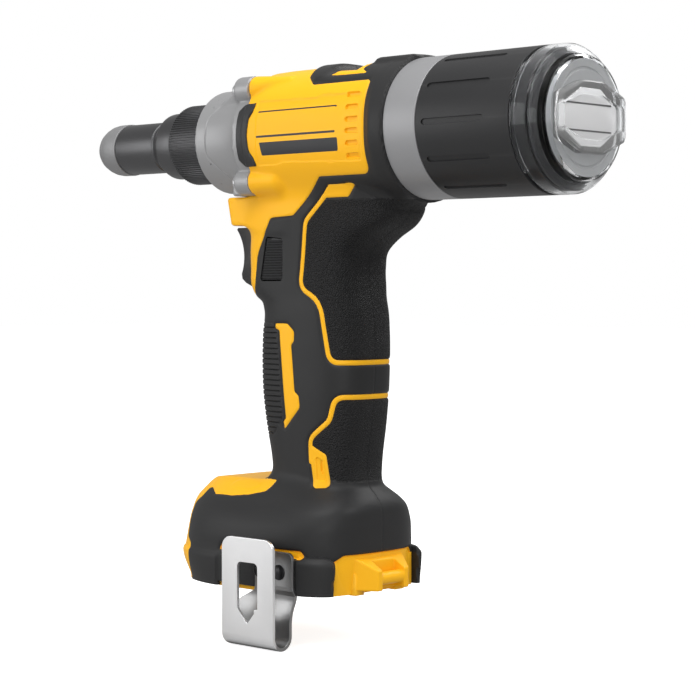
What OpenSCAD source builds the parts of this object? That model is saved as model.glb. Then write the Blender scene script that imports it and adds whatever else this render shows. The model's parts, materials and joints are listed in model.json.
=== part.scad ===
// Battery rivet tool: a hollow motor drives a ball nut through one planetary stage, and the nut draws a
// hollow screw, a jaw case and three jaws back from the nosepiece. Millimetres. Origin at the nosepiece's
// mouth on the barrel's axis, +X out of the nose, +Y to the tool's left, +Z up.

/* [Nose] */
// Diameter of the nose barrel
nose_d = 25.3; // [24.8:0.1:27]
// Diameter of the nosepiece's flat front
tip_d = 12; // [10:0.5:14]
// Diameter of the hole for the rivet's mandrel
mandrel_d = 4.6; // [3.6:0.1:5]
// Length of nosepiece that stands out of the barrel
tip_len = 20; // [17:0.5:24]
// Length of the straight nose barrel
barrel_len = 29; // [28:0.5:34]
// Diameter of the flared collar
collar_d = 32.8; // [31.4:0.2:35]
// Length of the flared collar
collar_len = 16.5; // [15:0.5:20]
// Diameter over the ribs of the lock ring
lock_d = 39.2; // [37:0.2:42]
// Length of the lock ring
lock_len = 27.5; // [25:0.5:30]
// Number of ribs on the lock ring
lock_ribs = 64; // [48:4:72]

/* [Gear case] */
// Diameter of the case at its front rim
case_front_d = 49.6; // [47:0.2:52]
// Diameter of the case where it meets the housing
case_d = 58; // [56.5:0.5:59]
// Length of the case in front of the housing
case_len = 32.5; // [31:0.5:36]
// Diameter of each screw lug
lug_d = 12.4; // [11.4:0.2:13.4]
// Length of each screw lug
lug_len = 5; // [4:0.5:8]
// Distance of the lugs to each side of the axis
lug_y = 20.5; // [20:0.5:22]
// Height of the upper lugs above the axis
lug_top = 22; // [21:0.5:23]
// Depth of the lower lugs under the axis
lug_low = 21; // [20.5:0.5:22]

/* [Housing] */
// Width of the barrel part of the housing
body_w = 59; // [58.6:0.2:62]
// Height of the barrel part of the housing
body_h = 60.4; // [60:0.2:64]
// Length of the housing from the gear case to the rear ring
body_len = 94.5; // [94:0.5:104]
// Length of the black band at the housing's rear
band_len = 9; // [7:0.5:11]
// Diameter of the black band
band_d = 64.8; // [64:0.2:68]
// Wall of the housing
wall = 2.4; // [2:0.1:2.6]
// Thickness of the rubber overmould
skin = 1.6; // [1.2:0.1:2]
// Depth of the yellow chin under the axis
chin_drop = 41; // [40:0.5:43]
// Reach of the chin in front of the seam with the gear case
chin_reach = 18; // [15:0.5:20]
// Half width of the chin
chin_half = 17; // [15:0.5:18.5]

/* [Grip] */
// Width of the grip over the rubber
grip_w = 40; // [38:0.5:43]
// Depth of the grip, front to back, over the rubber
grip_depth = 60; // [58:0.5:64]
// Distance of the grip's centre line behind the gear case
grip_back = 30.7; // [29:0.5:33]
// Height of the grip from the housing to the foot
grip_h = 136; // [128:1:146]
// Width of the thin yellow lines
line_w = 2; // [1.6:0.1:2.6]
// Number of ribs across the front of the grip
grip_ribs = 20; // [14:1:24]

/* [Foot] */
// Width of the foot
foot_w = 77.2; // [75:0.2:80]
// Length of the foot
foot_len = 112; // [108:1:118]
// Distance of the foot's front in front of the grip's centre line
foot_reach = 76.5; // [74:0.5:80]
// Height of the foot
foot_h = 46; // [44:0.5:50]
// Width of the battery bay between the rails
bay_w = 58; // [54:1:60]
// Depth of the battery bay
bay_h = 11.5; // [10:0.5:12.5]
// Thickness of the lanyard bar
bar_d = 4; // [3.5:0.1:5]

/* [Hook] */
// Width of the belt hook
hook_w = 33; // [30:0.5:36]
// Height of the hook's outer plate
hook_h = 47; // [44:0.5:52]
// Clear gap between hook and foot
hook_gap = 9; // [8:0.5:12]
// Thickness of the hook's sheet
hook_t = 1.6; // [1.2:0.1:2]

/* [Collector] */
// Diameter of the grey ring and the barrel
jar_d = 63; // [62:0.2:66]
// Length of the grey ring
ring_len = 18.5; // [16:0.5:22]
// Length of the collection barrel with the cap's skirt
jar_len = 59; // [52:0.5:70]
// Wall of the barrel
jar_wall = 3; // [2.6:0.1:3.4]
// Number of flutes in the barrel
flutes = 12; // [8:1:16]
// Length of each flute
flute_len = 33; // [24:0.5:33]
// Width of each flute
flute_w = 2.6; // [2:0.1:3.4]
// Length of the cap's skirt
skirt_len = 13.5; // [12:0.5:16]
// Diameter of the raised lens
lens_d = 50.6; // [49:0.2:54]
// Length of the grip bar on the cap
bar_len = 45; // [42:0.5:48]
// Height of the grip bar at its middle
bar_mid = 30; // [26:0.5:34]
// Height of the grip bar at its ends
bar_end = 18; // [16:0.5:22]

/* [Drive] */
// Stroke of the jaws
stroke = 25; // [20:0.5:26]
// Diameter of the ball screw
screw_d = 12; // [11:0.2:12.4]
// Bore through the ball screw
screw_bore = 6.8; // [6.6:0.1:7.4]
// Gear module
gear_mod = 0.9; // [0.86:0.01:0.92]
// Teeth on the sun gear
sun_teeth = 21; // [21:1:21]
// Teeth on each planet
planet_teeth = 12; // [12:1:12]
// Length of the gears' teeth
gear_len = 10.5; // [9:0.5:11]
// Length of the stator's stack
stator_len = 25; // [22:0.5:25]
// Diameter of the rotor's core
rotor_d = 28; // [27:0.2:29]
// Number of fan blades
fan_blades = 15; // [11:1:19]

/* [Trigger] */
// Height of the trigger
trigger_h = 30.4; // [28:0.2:31]
// Half width of the trigger
trigger_half = 9; // [8:0.2:9.6]
// Travel of the trigger
trigger_travel = 7; // [5:0.2:7.4]
// Sideways travel of the lock button, each way
lock_travel = 2.4; // [1.8:0.1:2.5]

/* [Fits] */
// Gap around pieces that move
move_gap = 0.35; // [0.3:0.01:0.5]
// Gap between fixed pieces and their seats
seat_gap = 0.08; // [0.05:0.01:0.12]
// Backlash taken from each tooth flank
backlash = 0.06; // [0.04:0.01:0.08]

/* [Hidden] */
nose_r = nose_d / 2;
nose_wall = 1.4;
nose_bore_r = nose_r - nose_wall;
tip_r = tip_d / 2;
mandrel_r = mandrel_d / 2;
spigot_len = 8;
pusher_len = 4;
collar_r = collar_d / 2;
lock_r = lock_d / 2;
case_front_r = case_front_d / 2;
case_r = case_d / 2;
lug_r = lug_d / 2;
jar_r = jar_d / 2;
screw_r = screw_d / 2;
screw_bore_r = screw_bore / 2;

// Stations along the axis, counted back from the nosepiece's mouth
barrel_x = -tip_len;
collar_x = barrel_x - barrel_len;
lock_x = collar_x - collar_len;
case_x = lock_x - lock_len;
seam_x = case_x - case_len;
rear_x = seam_x - body_len;
band_x = rear_x + band_len;
ring_x = rear_x - ring_len;
jar_x = ring_x - jar_len;
skirt_x = jar_x + skirt_len;

// Nose housing's spigot and the pieces in the gear case
spigot_r = collar_r - 2.4;
spigot_in = 6;
thrust_x = case_x - spigot_in - 2;
thrust_len = 5.8;
thrust_r = 18;
nut_x = thrust_x - thrust_len - move_gap;
nut_len = 28;
nut_r = 15;
nut_flange_r = 16.4;
nut_flange_len = 2.2;
nut_bearing_x = nut_x - nut_flange_len - seat_gap;
nut_bearing_len = 7.4;
nut_bearing_r = 21;
carrier_x = nut_x - nut_len;
carrier_len = 4;
carrier_r = 18.6;
gear_x = carrier_x - carrier_len - move_gap;
gear_end = gear_x - gear_len;
plate_x = gear_end - 1.4;
plate_len = 7;
plate_end = plate_x - plate_len;
coil_over = 4;
stator_x = plate_end - coil_over - 0.4;
stator_end = stator_x - stator_len;
coil_end = stator_end - coil_over;
board_x = coil_end - 0.4;
board_len = 1.6;
fan_x = board_x - board_len - 1.2;
fan_len = 9;
holder_x = fan_x - fan_len - 1;
holder_len = 7;
holder_end = holder_x - holder_len;
motor_bearing_len = 5;
motor_bearing_r = 14;

// Gears: three planets between the sun and a fixed ring
pressure = 25;
ring_teeth = sun_teeth + 2 * planet_teeth;
sun_pitch = gear_mod * sun_teeth / 2;
planet_pitch = gear_mod * planet_teeth / 2;
ring_pitch = gear_mod * ring_teeth / 2;
planet_orbit = sun_pitch + planet_pitch;
tooth_tip = 0.88;
tooth_root = 1.18;
pin_r = 1.5;
shaft_r = sun_pitch - tooth_root * gear_mod;
shaft_bore_r = screw_r + move_gap + 0.05;

// Room inside the housing
room_r = body_w / 2 - wall;
sleeve_r = room_r - 0.3;
ring_gear_r = sleeve_r - 2.4;
stator_r = room_r - 0.3;
rotor_r = rotor_d / 2;
air_gap = 0.6;

// Jaw case at the front of its stroke
jaw_case_r = nose_bore_r - move_gap;
jaw_case_x = barrel_x - spigot_len - pusher_len - 1;
jaw_case_len = 38;
jaw_mouth_r = 5;
jaw_room_r = jaw_case_r - 2;
cone_len = 16;
jaw_front = 2;
jaw_slit = 0.8;
jaw_open = 2.4;
cone_slope = (jaw_room_r - jaw_mouth_r) / cone_len;
jaw_spare = jaw_open + 0.2;
jaw_rear = jaw_case_x - cone_len + jaw_spare;
hub_len = 10;
pusher_x = jaw_rear - 0.3;
pusher_r = jaw_room_r - cone_slope * (jaw_spare + 0.3) - 0.3;
push_plate = 3;
hub_x = jaw_case_x - jaw_case_len + hub_len;
screw_len = 87;
screw_end = hub_x - hub_len - screw_len;
tube_r = screw_bore_r - 0.3;
tube_wall = 0.5;
tube_x = screw_end + 8;
tube_end = ring_x - 2;

// Grip and foot
grip_x = seam_x - grip_back;
grip_top = -24;
grip_foot = grip_top - grip_h;
half_depth = grip_depth / 2;
half_grip = grip_w / 2;
foot_top = grip_foot - 1;
foot_low = foot_top - foot_h;
foot_front = grip_x + foot_reach;
foot_rear = foot_front - foot_len;
foot_half = foot_w / 2;
foot_roof = 13.6;
frame_top = foot_low + 13.2;
frame_low = foot_low - 2;
frame_half = foot_half - skin - seat_gap;
frame_rear = foot_rear + skin + 2;
bay_top = frame_low + bay_h;
bay_end = frame_rear + 14;
hook_x = grip_x + 1.2;
hook_screw_z = frame_low + 11.4;
hook_y = foot_half + 0.1;
hook_bend = hook_gap / 2 + hook_t;
hook_plate_y = hook_y + hook_gap + hook_t;
hook_low = frame_low - 23.5;
bar_x = frame_rear - 7;
bar_z = frame_low + 4.6;
bar_half = 16.5;

// Trigger, switch and lock button
trigger_top = -chin_drop - 0.7;
trigger_low = trigger_top - trigger_h;
trigger_tip = seam_x + 20.4;
trigger_rear = seam_x - 0.5;
switch_x = trigger_rear - trigger_travel - 0.5;
switch_len = 30;
switch_half = 10.4;
plunger_z = trigger_top - 8;
plunger_r = 3;
lock_px = grip_x + 15.6;
lock_pz = trigger_top - trigger_h / 2 - 0.6;
lock_long = 14;
lock_tall = 19.4;
lock_pin_r = 2.6;
lock_in = switch_half + lock_travel + 0.6;
lock_out = half_grip + 0.2;

// Screws of the housing: X, Z and how deep the head sits under the right side
house_screws = [
  [seam_x + chin_reach - 7, -chin_drop + 7, chin_half - 4],
  [grip_x - 43, grip_top - 11, 12],
  [grip_x + 19, grip_top - grip_h * 0.46, 12],
  [grip_x - 22, grip_top - grip_h * 0.63, 12],
  [grip_x + 12, grip_top - grip_h * 0.93, 12],
  [foot_rear + 13, foot_top - 22, 20],
  [foot_front - 15, foot_top - 24, 20]];
house_screw_r = 1.6;
house_head_r = 3.4;
boss_r = 4.6;
house_reach = 9;

yellow = [0.98, 0.72, 0.12];
rubber = [0.16, 0.16, 0.17];
grey = [0.66, 0.66, 0.67];
dark = [0.3, 0.3, 0.31];
steel = [0.8, 0.81, 0.82];
brass = [0.78, 0.62, 0.3];
copper = [0.75, 0.42, 0.22];
board = [0.1, 0.35, 0.2];
clear = [0.85, 0.87, 0.9];

// Shared shapes

// Solid of revolution about X from points of radius and X
module turned(points, fn = 96) rotate([0, 90, 0]) rotate_extrude($fn = fn) polygon(points);

// Cylinder along X from x0 back by len
module rod(r, x0, len, fn = 64) translate([x0 - len, 0, 0]) rotate([0, 90, 0]) cylinder(r = r, h = len,
  $fn = fn);

// Tube along X from x0 back by len
module pipe(r_out, r_in, x0, len, fn = 96) difference() {
  rod(r_out, x0, len, fn);
  rod(r_in, x0 + 1, len + 2, fn);
}

// Cylinder along Y from y0 to y1
module cross_rod(r, x, z, y0, y1, fn = 32)
  translate([x, y0, z]) rotate([-90, 0, 0]) cylinder(r = r, h = y1 - y0, $fn = fn);

// Outline drawn in X and Z, made solid from y0 to y1
module side_cut(y0, y1) translate([0, y1, 0]) rotate([90, 0, 0]) linear_extrude(y1 - y0) children();

// Square with round corners, from exact pieces
module round_box(long, tall, r) {
  square([long - 2 * r, tall], center = true);
  square([long, tall - 2 * r], center = true);
  for (sx = [-1, 1], sy = [-1, 1])
    translate([sx * (long / 2 - r), sy * (tall / 2 - r)]) circle(r, $fn = 40);
}

function power(v, p) = sign(v) * pow(abs(v), p);

// Closed outline between an ellipse and a box; n sets how square it is
function soft_box(a, b, n, count = 20) =
  [for (i = [0:count - 1]) [a * power(cos(360 * (i + 0.5) / count), 2 / n),
    b * power(sin(360 * (i + 0.5) / count), 2 / n)]];

thin = 0.02;

// Involute gear outline
function involute(x) = tan(x) * 180 / PI - x;
function gear_points(teeth, tip, root, thick) =
  let (r = gear_mod * teeth / 2, base = r * cos(pressure), top = r + tip * gear_mod,
    low = r - root * gear_mod,
    half = 90 / teeth + thick / r * 180 / PI, steps = 4, start = max(base, low))
  [for (i = [0:teeth - 1]) each
    [for (p = concat([[low, half + involute(pressure) - involute(acos(min(1, base / start)))]],
        [for (k = [0:steps]) let (q = start + (top - start) * k / steps)
          [q, half + involute(pressure) - involute(acos(min(1, base / q)))]],
        [for (k = [steps:-1:0]) let (q = start + (top - start) * k / steps)
          [q, -(half + involute(pressure) - involute(acos(min(1, base / q))))]],
        [[low, -(half + involute(pressure) - involute(acos(min(1, base / start))))]]))
      let (a = 360 * i / teeth - p[1]) [p[0] * cos(a), p[0] * sin(a)]]];

// Gear lying along X from x0 back by len; its outline's own X points up the Z axis
module gear(points, x0, len) translate([x0 - len, 0, 0]) rotate([90, 0, 90]) linear_extrude(len)
  polygon(points);

// Smooth path through points
function path_at(p, i) = p[max(0, min(len(p) - 1, i))];
function smooth(p, n) = concat([for (i = [0:len(p) - 2], k = [0:n - 1])
    let (t = k / n, a = path_at(p, i - 1), b = path_at(p, i), c = path_at(p, i + 1), d = path_at(p, i + 2))
    0.5 * (2 * b + (c - a) * t + (2 * a - 5 * b + 4 * c - d) * t * t + (3 * b - a - 3 * c + d)
      * t * t * t)],
  [p[len(p) - 1]]);

// Tube along a path that lies in X and Z, at a set Y
module lead(path, y, r) {
  sides = 6;
  last = len(path) - 1;
  points = [for (i = [0:last]) let (t = path_at(path, i + 1) - path_at(path, i - 1), m = norm(t))
    for (k = [0:sides - 1]) let (a = 360 * k / sides)
      [path[i][0] - r * sin(a) * t[1] / m, y + r * cos(a), path[i][1] + r * sin(a) * t[0] / m]];
  polyhedron(points, concat([[for (k = [0:sides - 1]) k]],
    [for (i = [0:last - 1], k = [0:sides - 1]) let (n = (k + 1) % sides)
      [i * sides + n, i * sides + k, (i + 1) * sides + k, (i + 1) * sides + n]],
    [[for (k = [sides - 1:-1:0]) last * sides + k]]));
}

// Balls and two races, for a bearing along X
module bearing(r_in, r_out, x0, len) {
  rim = (r_out - r_in) * 0.3;
  ball = (r_out - r_in) * 0.2 - 0.05;
  pipe(r_in + rim, r_in, x0, len);
  pipe(r_out, r_out - rim, x0, len);
  count = floor(PI * (r_in + r_out) / (3.2 * ball));
  for (i = [0:count - 1]) rotate([360 * i / count, 0, 0])
    translate([x0 - len / 2, 0, (r_in + r_out) / 2]) sphere(ball, $fn = 24);
}

// Nose

module nosepiece() color(steel) {
  front = 0.8;
  dome = tip_len - 6;
  turned(concat([[mandrel_r, 0], [tip_r - front, 0]],
    [for (a = [0:15:90]) [tip_r + (nose_r - tip_r) * sin(a), -front - dome * (1 - cos(a))]],
    [[nose_r, barrel_x], [nose_bore_r - seat_gap, barrel_x], [nose_bore_r - seat_gap,
      barrel_x - spigot_len],
      [jaw_mouth_r - 0.8, barrel_x - spigot_len], [jaw_mouth_r - 0.8, barrel_x - spigot_len - pusher_len],
      [mandrel_r, barrel_x - spigot_len - pusher_len]]));
}

module nose_housing() color(dark) {
  flare = 6;
  turned(concat([[nose_bore_r, barrel_x - seat_gap], [nose_r - 0.8, barrel_x - seat_gap],
      [nose_r, barrel_x - seat_gap - 0.8], [nose_r, collar_x + 1.2], [nose_r - 0.5, collar_x + 0.8],
      [nose_r - 0.5, collar_x]],
    [for (a = [0:15:90]) [nose_r - 0.5 + (collar_r - nose_r + 0.5) * sin(a),
      collar_x - flare * (1 - cos(a))]],
    [[collar_r, lock_x + seat_gap], [spigot_r, lock_x + seat_gap], [spigot_r, case_x - spigot_in
      + seat_gap],
      [nose_bore_r, case_x - spigot_in + seat_gap]]));
}

module lock_ring() color(dark) {
  lip = 1.6;
  rib = 0.7;
  points = [for (i = [0:2 * lock_ribs - 1]) let (a = 180 * i / lock_ribs, r = lock_r - rib * (i % 2))
    [r * cos(a), r * sin(a)]];
  difference() {
    intersection() {
      translate([case_x + move_gap, 0, 0]) rotate([90, 0, 90])
        linear_extrude(lock_len - 2 * move_gap) polygon(points);
      turned([[0, case_x], [lock_r + 1, case_x], [lock_r + 1, lock_x - 3.4], [collar_r + 0.6, lock_x - 0.2],
        [0, lock_x - 0.2]]);
    }
    rod(spigot_r + 0.06, lock_x + 1, lock_len + 2);
  }
}

// Gear case

module lug_spots() for (sy = [-1, 1]) {
  translate([0, sy * lug_y, lug_top]) children();
  translate([0, sy * lug_y, -lug_low]) children();
}

case_screw_r = 1.75;
case_slope = case_len - 4;

case_head_r = 3.3;
case_head_len = 2.4;
spot_face = 0.3;

// Outside of the case, from its front rim to a little behind the seam
module case_outer(grow, behind = 0) {
  turned(concat([[0, case_x + grow], [case_front_r - 1.2 + grow, case_x + grow]],
    [for (a = [0:15:90]) [case_front_r + (case_r - case_front_r) * (1 - cos(a)) + grow,
      case_x - 1.2 - case_slope * sin(a)]],
    [[case_r + grow, seam_x - behind], [0, seam_x - behind]]));
  lug_spots() rod(lug_r + grow, seam_x + lug_len + grow, lug_len + grow + behind, 48);
  translate([seam_x - behind, -lug_y - grow, -lug_low - lug_r + 0.6 - grow])
    cube([lug_len - 1 + grow + behind, 2 * (lug_y + grow), lug_r]);
}

module gear_case() color(grey) difference() {
  union() {
    case_outer(0);
    rod(sleeve_r, seam_x + 1, seam_x + 1 - plate_end);
  }
  turned([[0, case_x + 1], [spigot_r + seat_gap, case_x + 1], [spigot_r + seat_gap, case_x - spigot_in],
    [nose_bore_r + 0.2, case_x - spigot_in], [nose_bore_r + 0.2, thrust_x], [thrust_r + seat_gap, thrust_x],
    [thrust_r + seat_gap, nut_bearing_x], [nut_bearing_r + seat_gap, nut_bearing_x],
    [nut_bearing_r + seat_gap, gear_x + 0.2], [ring_gear_r + seat_gap, gear_x + 0.2],
    [ring_gear_r + seat_gap, plate_end - 1], [0, plate_end - 1]]);
  lug_spots() {
    rod(case_screw_r + 0.2, seam_x + lug_len + 1, lug_len + 2, 32);
    rod(case_head_r + spot_face, seam_x + lug_len + 4 * case_head_len, 4 * case_head_len, 40);
  }
}

module case_screws() color(steel) lug_spots() difference() {
  union() {
    rod(case_screw_r, seam_x + lug_len, lug_len + 16, 32);
    rod(case_head_r, seam_x + lug_len + case_head_len, case_head_len, 40);
  }
  translate([seam_x + lug_len + 1, 0, 0]) rotate([0, 90, 0]) cylinder(r = 1.7, h = 2, $fn = 6);
}

trim_long = 11;
trim_tall = 29;
trim_band = 7.2;
trim_arm = 6.4;
trim_slant = 2.6;
trim_corner = 2.4;
trim_x = seam_x - 1.4;

// Bracket that stands upright, with its ends cut on a slant
module trim_outline(grow) {
  front = trim_x + grow;
  tip = trim_x - trim_long - grow;
  bend = trim_x - trim_band - grow;
  top = trim_tall / 2 + grow;
  low = trim_tall / 2 - trim_arm - grow;
  polygon([[front, top - trim_corner], [front - trim_corner, top], [tip, top], [tip + trim_slant, low],
    [bend, low], [bend, -low], [tip + trim_slant, -low], [tip, -top], [front - trim_corner, -top],
    [front, trim_corner - top]]);
}

module left_trim() color(rubber)
  side_cut(body_w / 2 - 1.6, body_w / 2 + 0.3) trim_outline(0);

module right_trim() color(rubber)
  side_cut(-body_w / 2 - 0.3, -body_w / 2 + 1.6) trim_outline(0);

// Housing: forms shared by the halves and their overmould

body_soft = 2.5;

module body_slice(x, inset, n) translate([x, 0, 0]) rotate([90, 0, 90])
  linear_extrude(thin) polygon(soft_box(body_w / 2 - inset, body_h / 2 - inset, n));

module body_form(grow) {
  hull() {
    body_slice(seam_x - seat_gap - thin, 0.8 - grow, body_soft);
    body_slice(seam_x - 4, -grow, body_soft);
  }
  hull() {
    body_slice(seam_x - 4, -grow, body_soft);
    body_slice(band_x, -grow, body_soft);
  }
  lug_spots() hull() {
    rod(lug_r + grow, seam_x - seat_gap, 16, 16);
    rod(lug_r - 4 + grow, seam_x - 20, 8, 16);
  }
}

module band_form(grow) hull() {
  translate([band_x, 0, 0]) rotate([90, 0, 90])
    linear_extrude(thin) polygon(soft_box(band_d / 2 - 1.6 + grow, band_d / 2 - 1.6 + grow, 2.4));
  rod(band_d / 2 + grow, rear_x + band_len - 3, band_len - 3.2, 32);
}

// Grip rows: share of its height from the top, then front, rear and side offsets from its half sizes
grip_rows = [[0, 4, 24, 0], [0.088, 7, 24, 0.5], [0.132, 7.8, 16.4, 0.2], [0.17, 7.8, 6.6, 0],
  [0.213, 7.8, -1, -0.3], [0.272, 7.8, -3, -0.5], [0.345, 6.8, -2.3, -0.5],
  [0.412, -0.4, -0.2, -0.2], [0.5, 0.6, 0.8, 0], [0.603, 1, 0.8, 0], [0.706, 0.2, 0, 0],
  [0.809, -2, -1.5, -0.4], [0.912, -5.3, -3.7, -0.8], [1.01, -7.3, -5, -1]];

module plan_slice(z, front, rear, half, n) translate([(front + rear) / 2, 0, z])
  linear_extrude(thin) polygon(soft_box((front - rear) / 2, half, n));

module grip_slice(row, inset) plan_slice(grip_top - row[0] * grip_h,
  grip_x + half_depth + row[1] - inset, grip_x - half_depth - row[2] + inset, half_grip
    + row[3] - inset, 3.2);

module grip_form(inset, rows = grip_rows) for (i = [0:len(rows) - 2]) hull() {
  grip_slice(rows[i], inset);
  grip_slice(rows[i + 1], inset);
}

// Fewer rows for the space inside, where the grip only bulges
room_rows = [for (i = [0, 1, 2, 3, 4, 5, 7, 9, 11, 13]) grip_rows[i]];

// Foot rows: share of its height from the top, then how far front, rear and sides fall short, and how square
// its rear is; its front keeps one roundness
foot_rows = [[0, 46, 10.4, 18.6, 3], [0.08, 14, 5, 13.4, 3.3], [0.19, 5.6, 1, 7.4, 3.4], [0.34, 2, 0,
  2.6, 3.3],
  [0.52, 0.4, 0, 0.4, 3.2], [0.66, 0, 0, 0.3, 3.2], [0.7, 0, 0, 0, 5], [1, 1.6, 1.4, 0, 5]];

foot_soft = 2.8;

module foot_slice(row, inset, low) {
  front = foot_front - row[1] - inset;
  rear = foot_rear + row[2] + inset;
  half = foot_half - row[3] - inset;
  points = [for (p = soft_box(1, half, row[4])) if (p[0] < 0) p];
  nose = [for (p = soft_box(1, half, foot_soft)) if (p[0] > 0) p];
  translate([(front + rear) / 2, 0, foot_top - row[0] * foot_h - low]) linear_extrude(thin) hull()
    polygon([for (p = concat(nose, points)) [p[0] * (front - rear) / 2, p[1]]]);
}

// Plan of the foot's lowest part, drawn in by inset at the sides and by ends at its ends
function foot_plan(inset, ends) = let (half_l = foot_len / 2 - ends, half = foot_half - inset,
    mid = foot_front - foot_len / 2, count = 20)
  [for (i = [0:count - 1]) let (a = 360 * (i + 0.5) / count, n = cos(a) > 0 ? foot_soft : 5)
    [mid + half_l * power(cos(a), 2 / n), half * power(sin(a), 2 / n)]];

module foot_form(inset, drop = 0) for (i = [0:len(foot_rows) - 2]) hull() {
  foot_slice(foot_rows[i], inset, i == 0 ? drop : 0);
  foot_slice(foot_rows[i + 1], inset, 0);
}

module chin_form(inset) hull() for (sy = [-1, 1]) {
  translate([seam_x + chin_reach - 7.4, sy * (chin_half - 4), -chin_drop]) cylinder(r = 4 - inset,
    h = 2, $fn = 16);
  translate([seam_x + chin_reach - 4, sy * (chin_half - 4), -chin_drop + 11])
    cylinder(r = 4 - inset, h = chin_drop - lug_low - lug_r - 10.6, $fn = 16);
  translate([grip_x + 20, sy * (chin_half - 2), -chin_drop]) cylinder(r = 4 - inset, h = 18, $fn = 16);
}

// Height share of the grip as a Z value
function grip_z(t) = grip_top - t * grip_h;

// Yellow part of the grip's side: the strip beside the trigger and the slope under the barrel
module yellow_zone() polygon([[grip_x - 15, grip_top + 4], [grip_x + 4, grip_z(0.091)],
  [grip_x + 18.4, grip_z(0.101)], [grip_x + 20.1, grip_z(0.167)], [grip_x + 24.8, grip_z(0.315)],
  [grip_x + 26, grip_z(0.36)], [grip_x + 60, grip_z(0.36)], [grip_x + 60, 0], [grip_x - 15, 0]]);

module stroke_line(points, grow) for (i = [0:len(points) - 2]) hull() {
  translate(points[i]) circle(line_w / 2 + grow, $fn = 8);
  translate(points[i + 1]) circle(line_w / 2 + grow, $fn = 8);
}

// Yellow lines, pad, strip and badge that show through the overmould
module accents(grow) {
  stroke_line([[grip_x - 24, grip_z(0.02)], [grip_x - 3, grip_z(0.12)], [grip_x, grip_z(0.345)],
    [grip_x - 12.4, grip_z(0.402)], [grip_x - 18, grip_z(0.588)], [grip_x - 60, grip_z(0.588)]], grow);
  stroke_line([[grip_x - 60, grip_z(0.706)], [grip_x - 29, grip_z(0.706)], [grip_x - 21, grip_z(0.748)],
    [grip_x - 6, grip_z(0.858)], [grip_x - 8, grip_z(0.91)]], grow);
  translate([grip_x - 28, grip_z(0.02)]) square([15 + 2 * grow, 6 + 2 * grow], center = true);
  translate([grip_x + 11.5, grip_z(0.642)]) round_box(11 + 2 * grow, 48 + 2 * grow, 2);
  translate([grip_x - 12.6, grip_z(0.957)]) round_box(11 + 2 * grow, 15 + 2 * grow, 3);
}

// Tongue of black rubber over the top of the housing
tongue_deep = 1;

module top_tongue(grow) {
  tongue = 57;
  half = 9;
  translate([0, 0, body_h / 2 - 9]) linear_extrude(14) difference() {
    translate([band_x + tongue / 2 - 4, 0]) round_box(tongue + 8 + 2 * grow, 2 * half + 2 * grow, 7);
    translate([band_x + tongue / 2 - 12, 0]) square([tongue - 4 - 2 * grow, 4.4 - 2 * grow], center = true);
  }
}

vent_count = 6;
vent_x = band_x + 9.5;

module vents() for (i = [0:vent_count - 1]) translate([vent_x, 0, 14.5 - 5.3 * i])
  cube([8.4, body_w + 4, 2.4], center = true);

module trigger_slot(grow) translate([trigger_rear - trigger_travel - 1, -trigger_half - grow,
  trigger_low - grow])
  cube([60, 2 * (trigger_half + grow), trigger_h + 2 * grow]);

module lock_slot(grow) for (sy = [-1, 1])
  translate([lock_px, sy * (lock_in - lock_travel - grow + half_grip / 2), lock_pz])
    cube([lock_long + 2 * grow, half_grip, lock_tall + 2 * grow], center = true);

slot_front = grip_x + 32;
slot_rear = grip_x - 23;
slot_z = frame_top + 2.6;

// Openings in the foot's rubber: side slots, rear face and front strip
module foot_windows(grow) {
  translate([(slot_front + slot_rear) / 2, 0, slot_z])
    cube([slot_front - slot_rear + 2 * grow, foot_w + 10, 4 + 2 * grow], center = true);
  translate([foot_rear, 0, foot_low + 14]) cube([20, 57 + 2 * grow, 30 + 2 * grow], center = true);
  translate([foot_front, 0, foot_low + 8]) cube([26, 50 + 2 * grow, 24 + 2 * grow], center = true);
}

cover_front = foot_front - 9.5;
cover_rear = grip_x + half_depth - 5;
cover_half = 19;

module cover_form(grow) hull() {
  for (sy = [-1, 1]) {
    translate([cover_front - 5, sy * (cover_half - 5), foot_top - 12]) cylinder(r = 5 + grow, h = 8
      + grow, $fn = 16);
    translate([cover_front - 20, sy * (cover_half - 5), foot_top - 12]) cylinder(r = 5 + grow, h = 12.4
      + grow, $fn = 16);
    translate([cover_rear + 3, sy * (cover_half - 5), foot_top - 12]) cylinder(r = 5 + grow, h = 12.8
      + grow, $fn = 16);
  }
}

light_spot = [cover_front - 0.5, 0, foot_top - 8.4];
light_tilt = 62;

module light_rod(r, h, base) translate(light_spot) rotate([0, light_tilt, 0]) translate([0, 0, base])
  cylinder(r = r, h = h, $fn = 48);

// Space inside one pair of halves
module inner_room() {
  rod(room_r, seam_x + 1, body_len + 2, 48);
  intersection() {
    grip_form(skin + wall, room_rows);
    translate([grip_x - 100, -60, grip_foot - 4]) cube([200, 120, grip_h + 2]);
  }
  intersection() {
    foot_form(skin + wall);
    translate([grip_x - 150, -100, foot_top - foot_roof - 100]) cube([300, 200, 100]);
  }
  translate([grip_x - 19, -12, foot_top - 20]) cube([36, 24, 24]);
  translate([grip_x, 0, frame_top - 20]) cube([400, 200, 40], center = true);
  translate([grip_x - 20, -12, grip_top - 12]) cube([32, 24, 20]);
}

module boss(spot) cross_rod(boss_r, spot[0], spot[1], -60, 60, 12);

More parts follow.
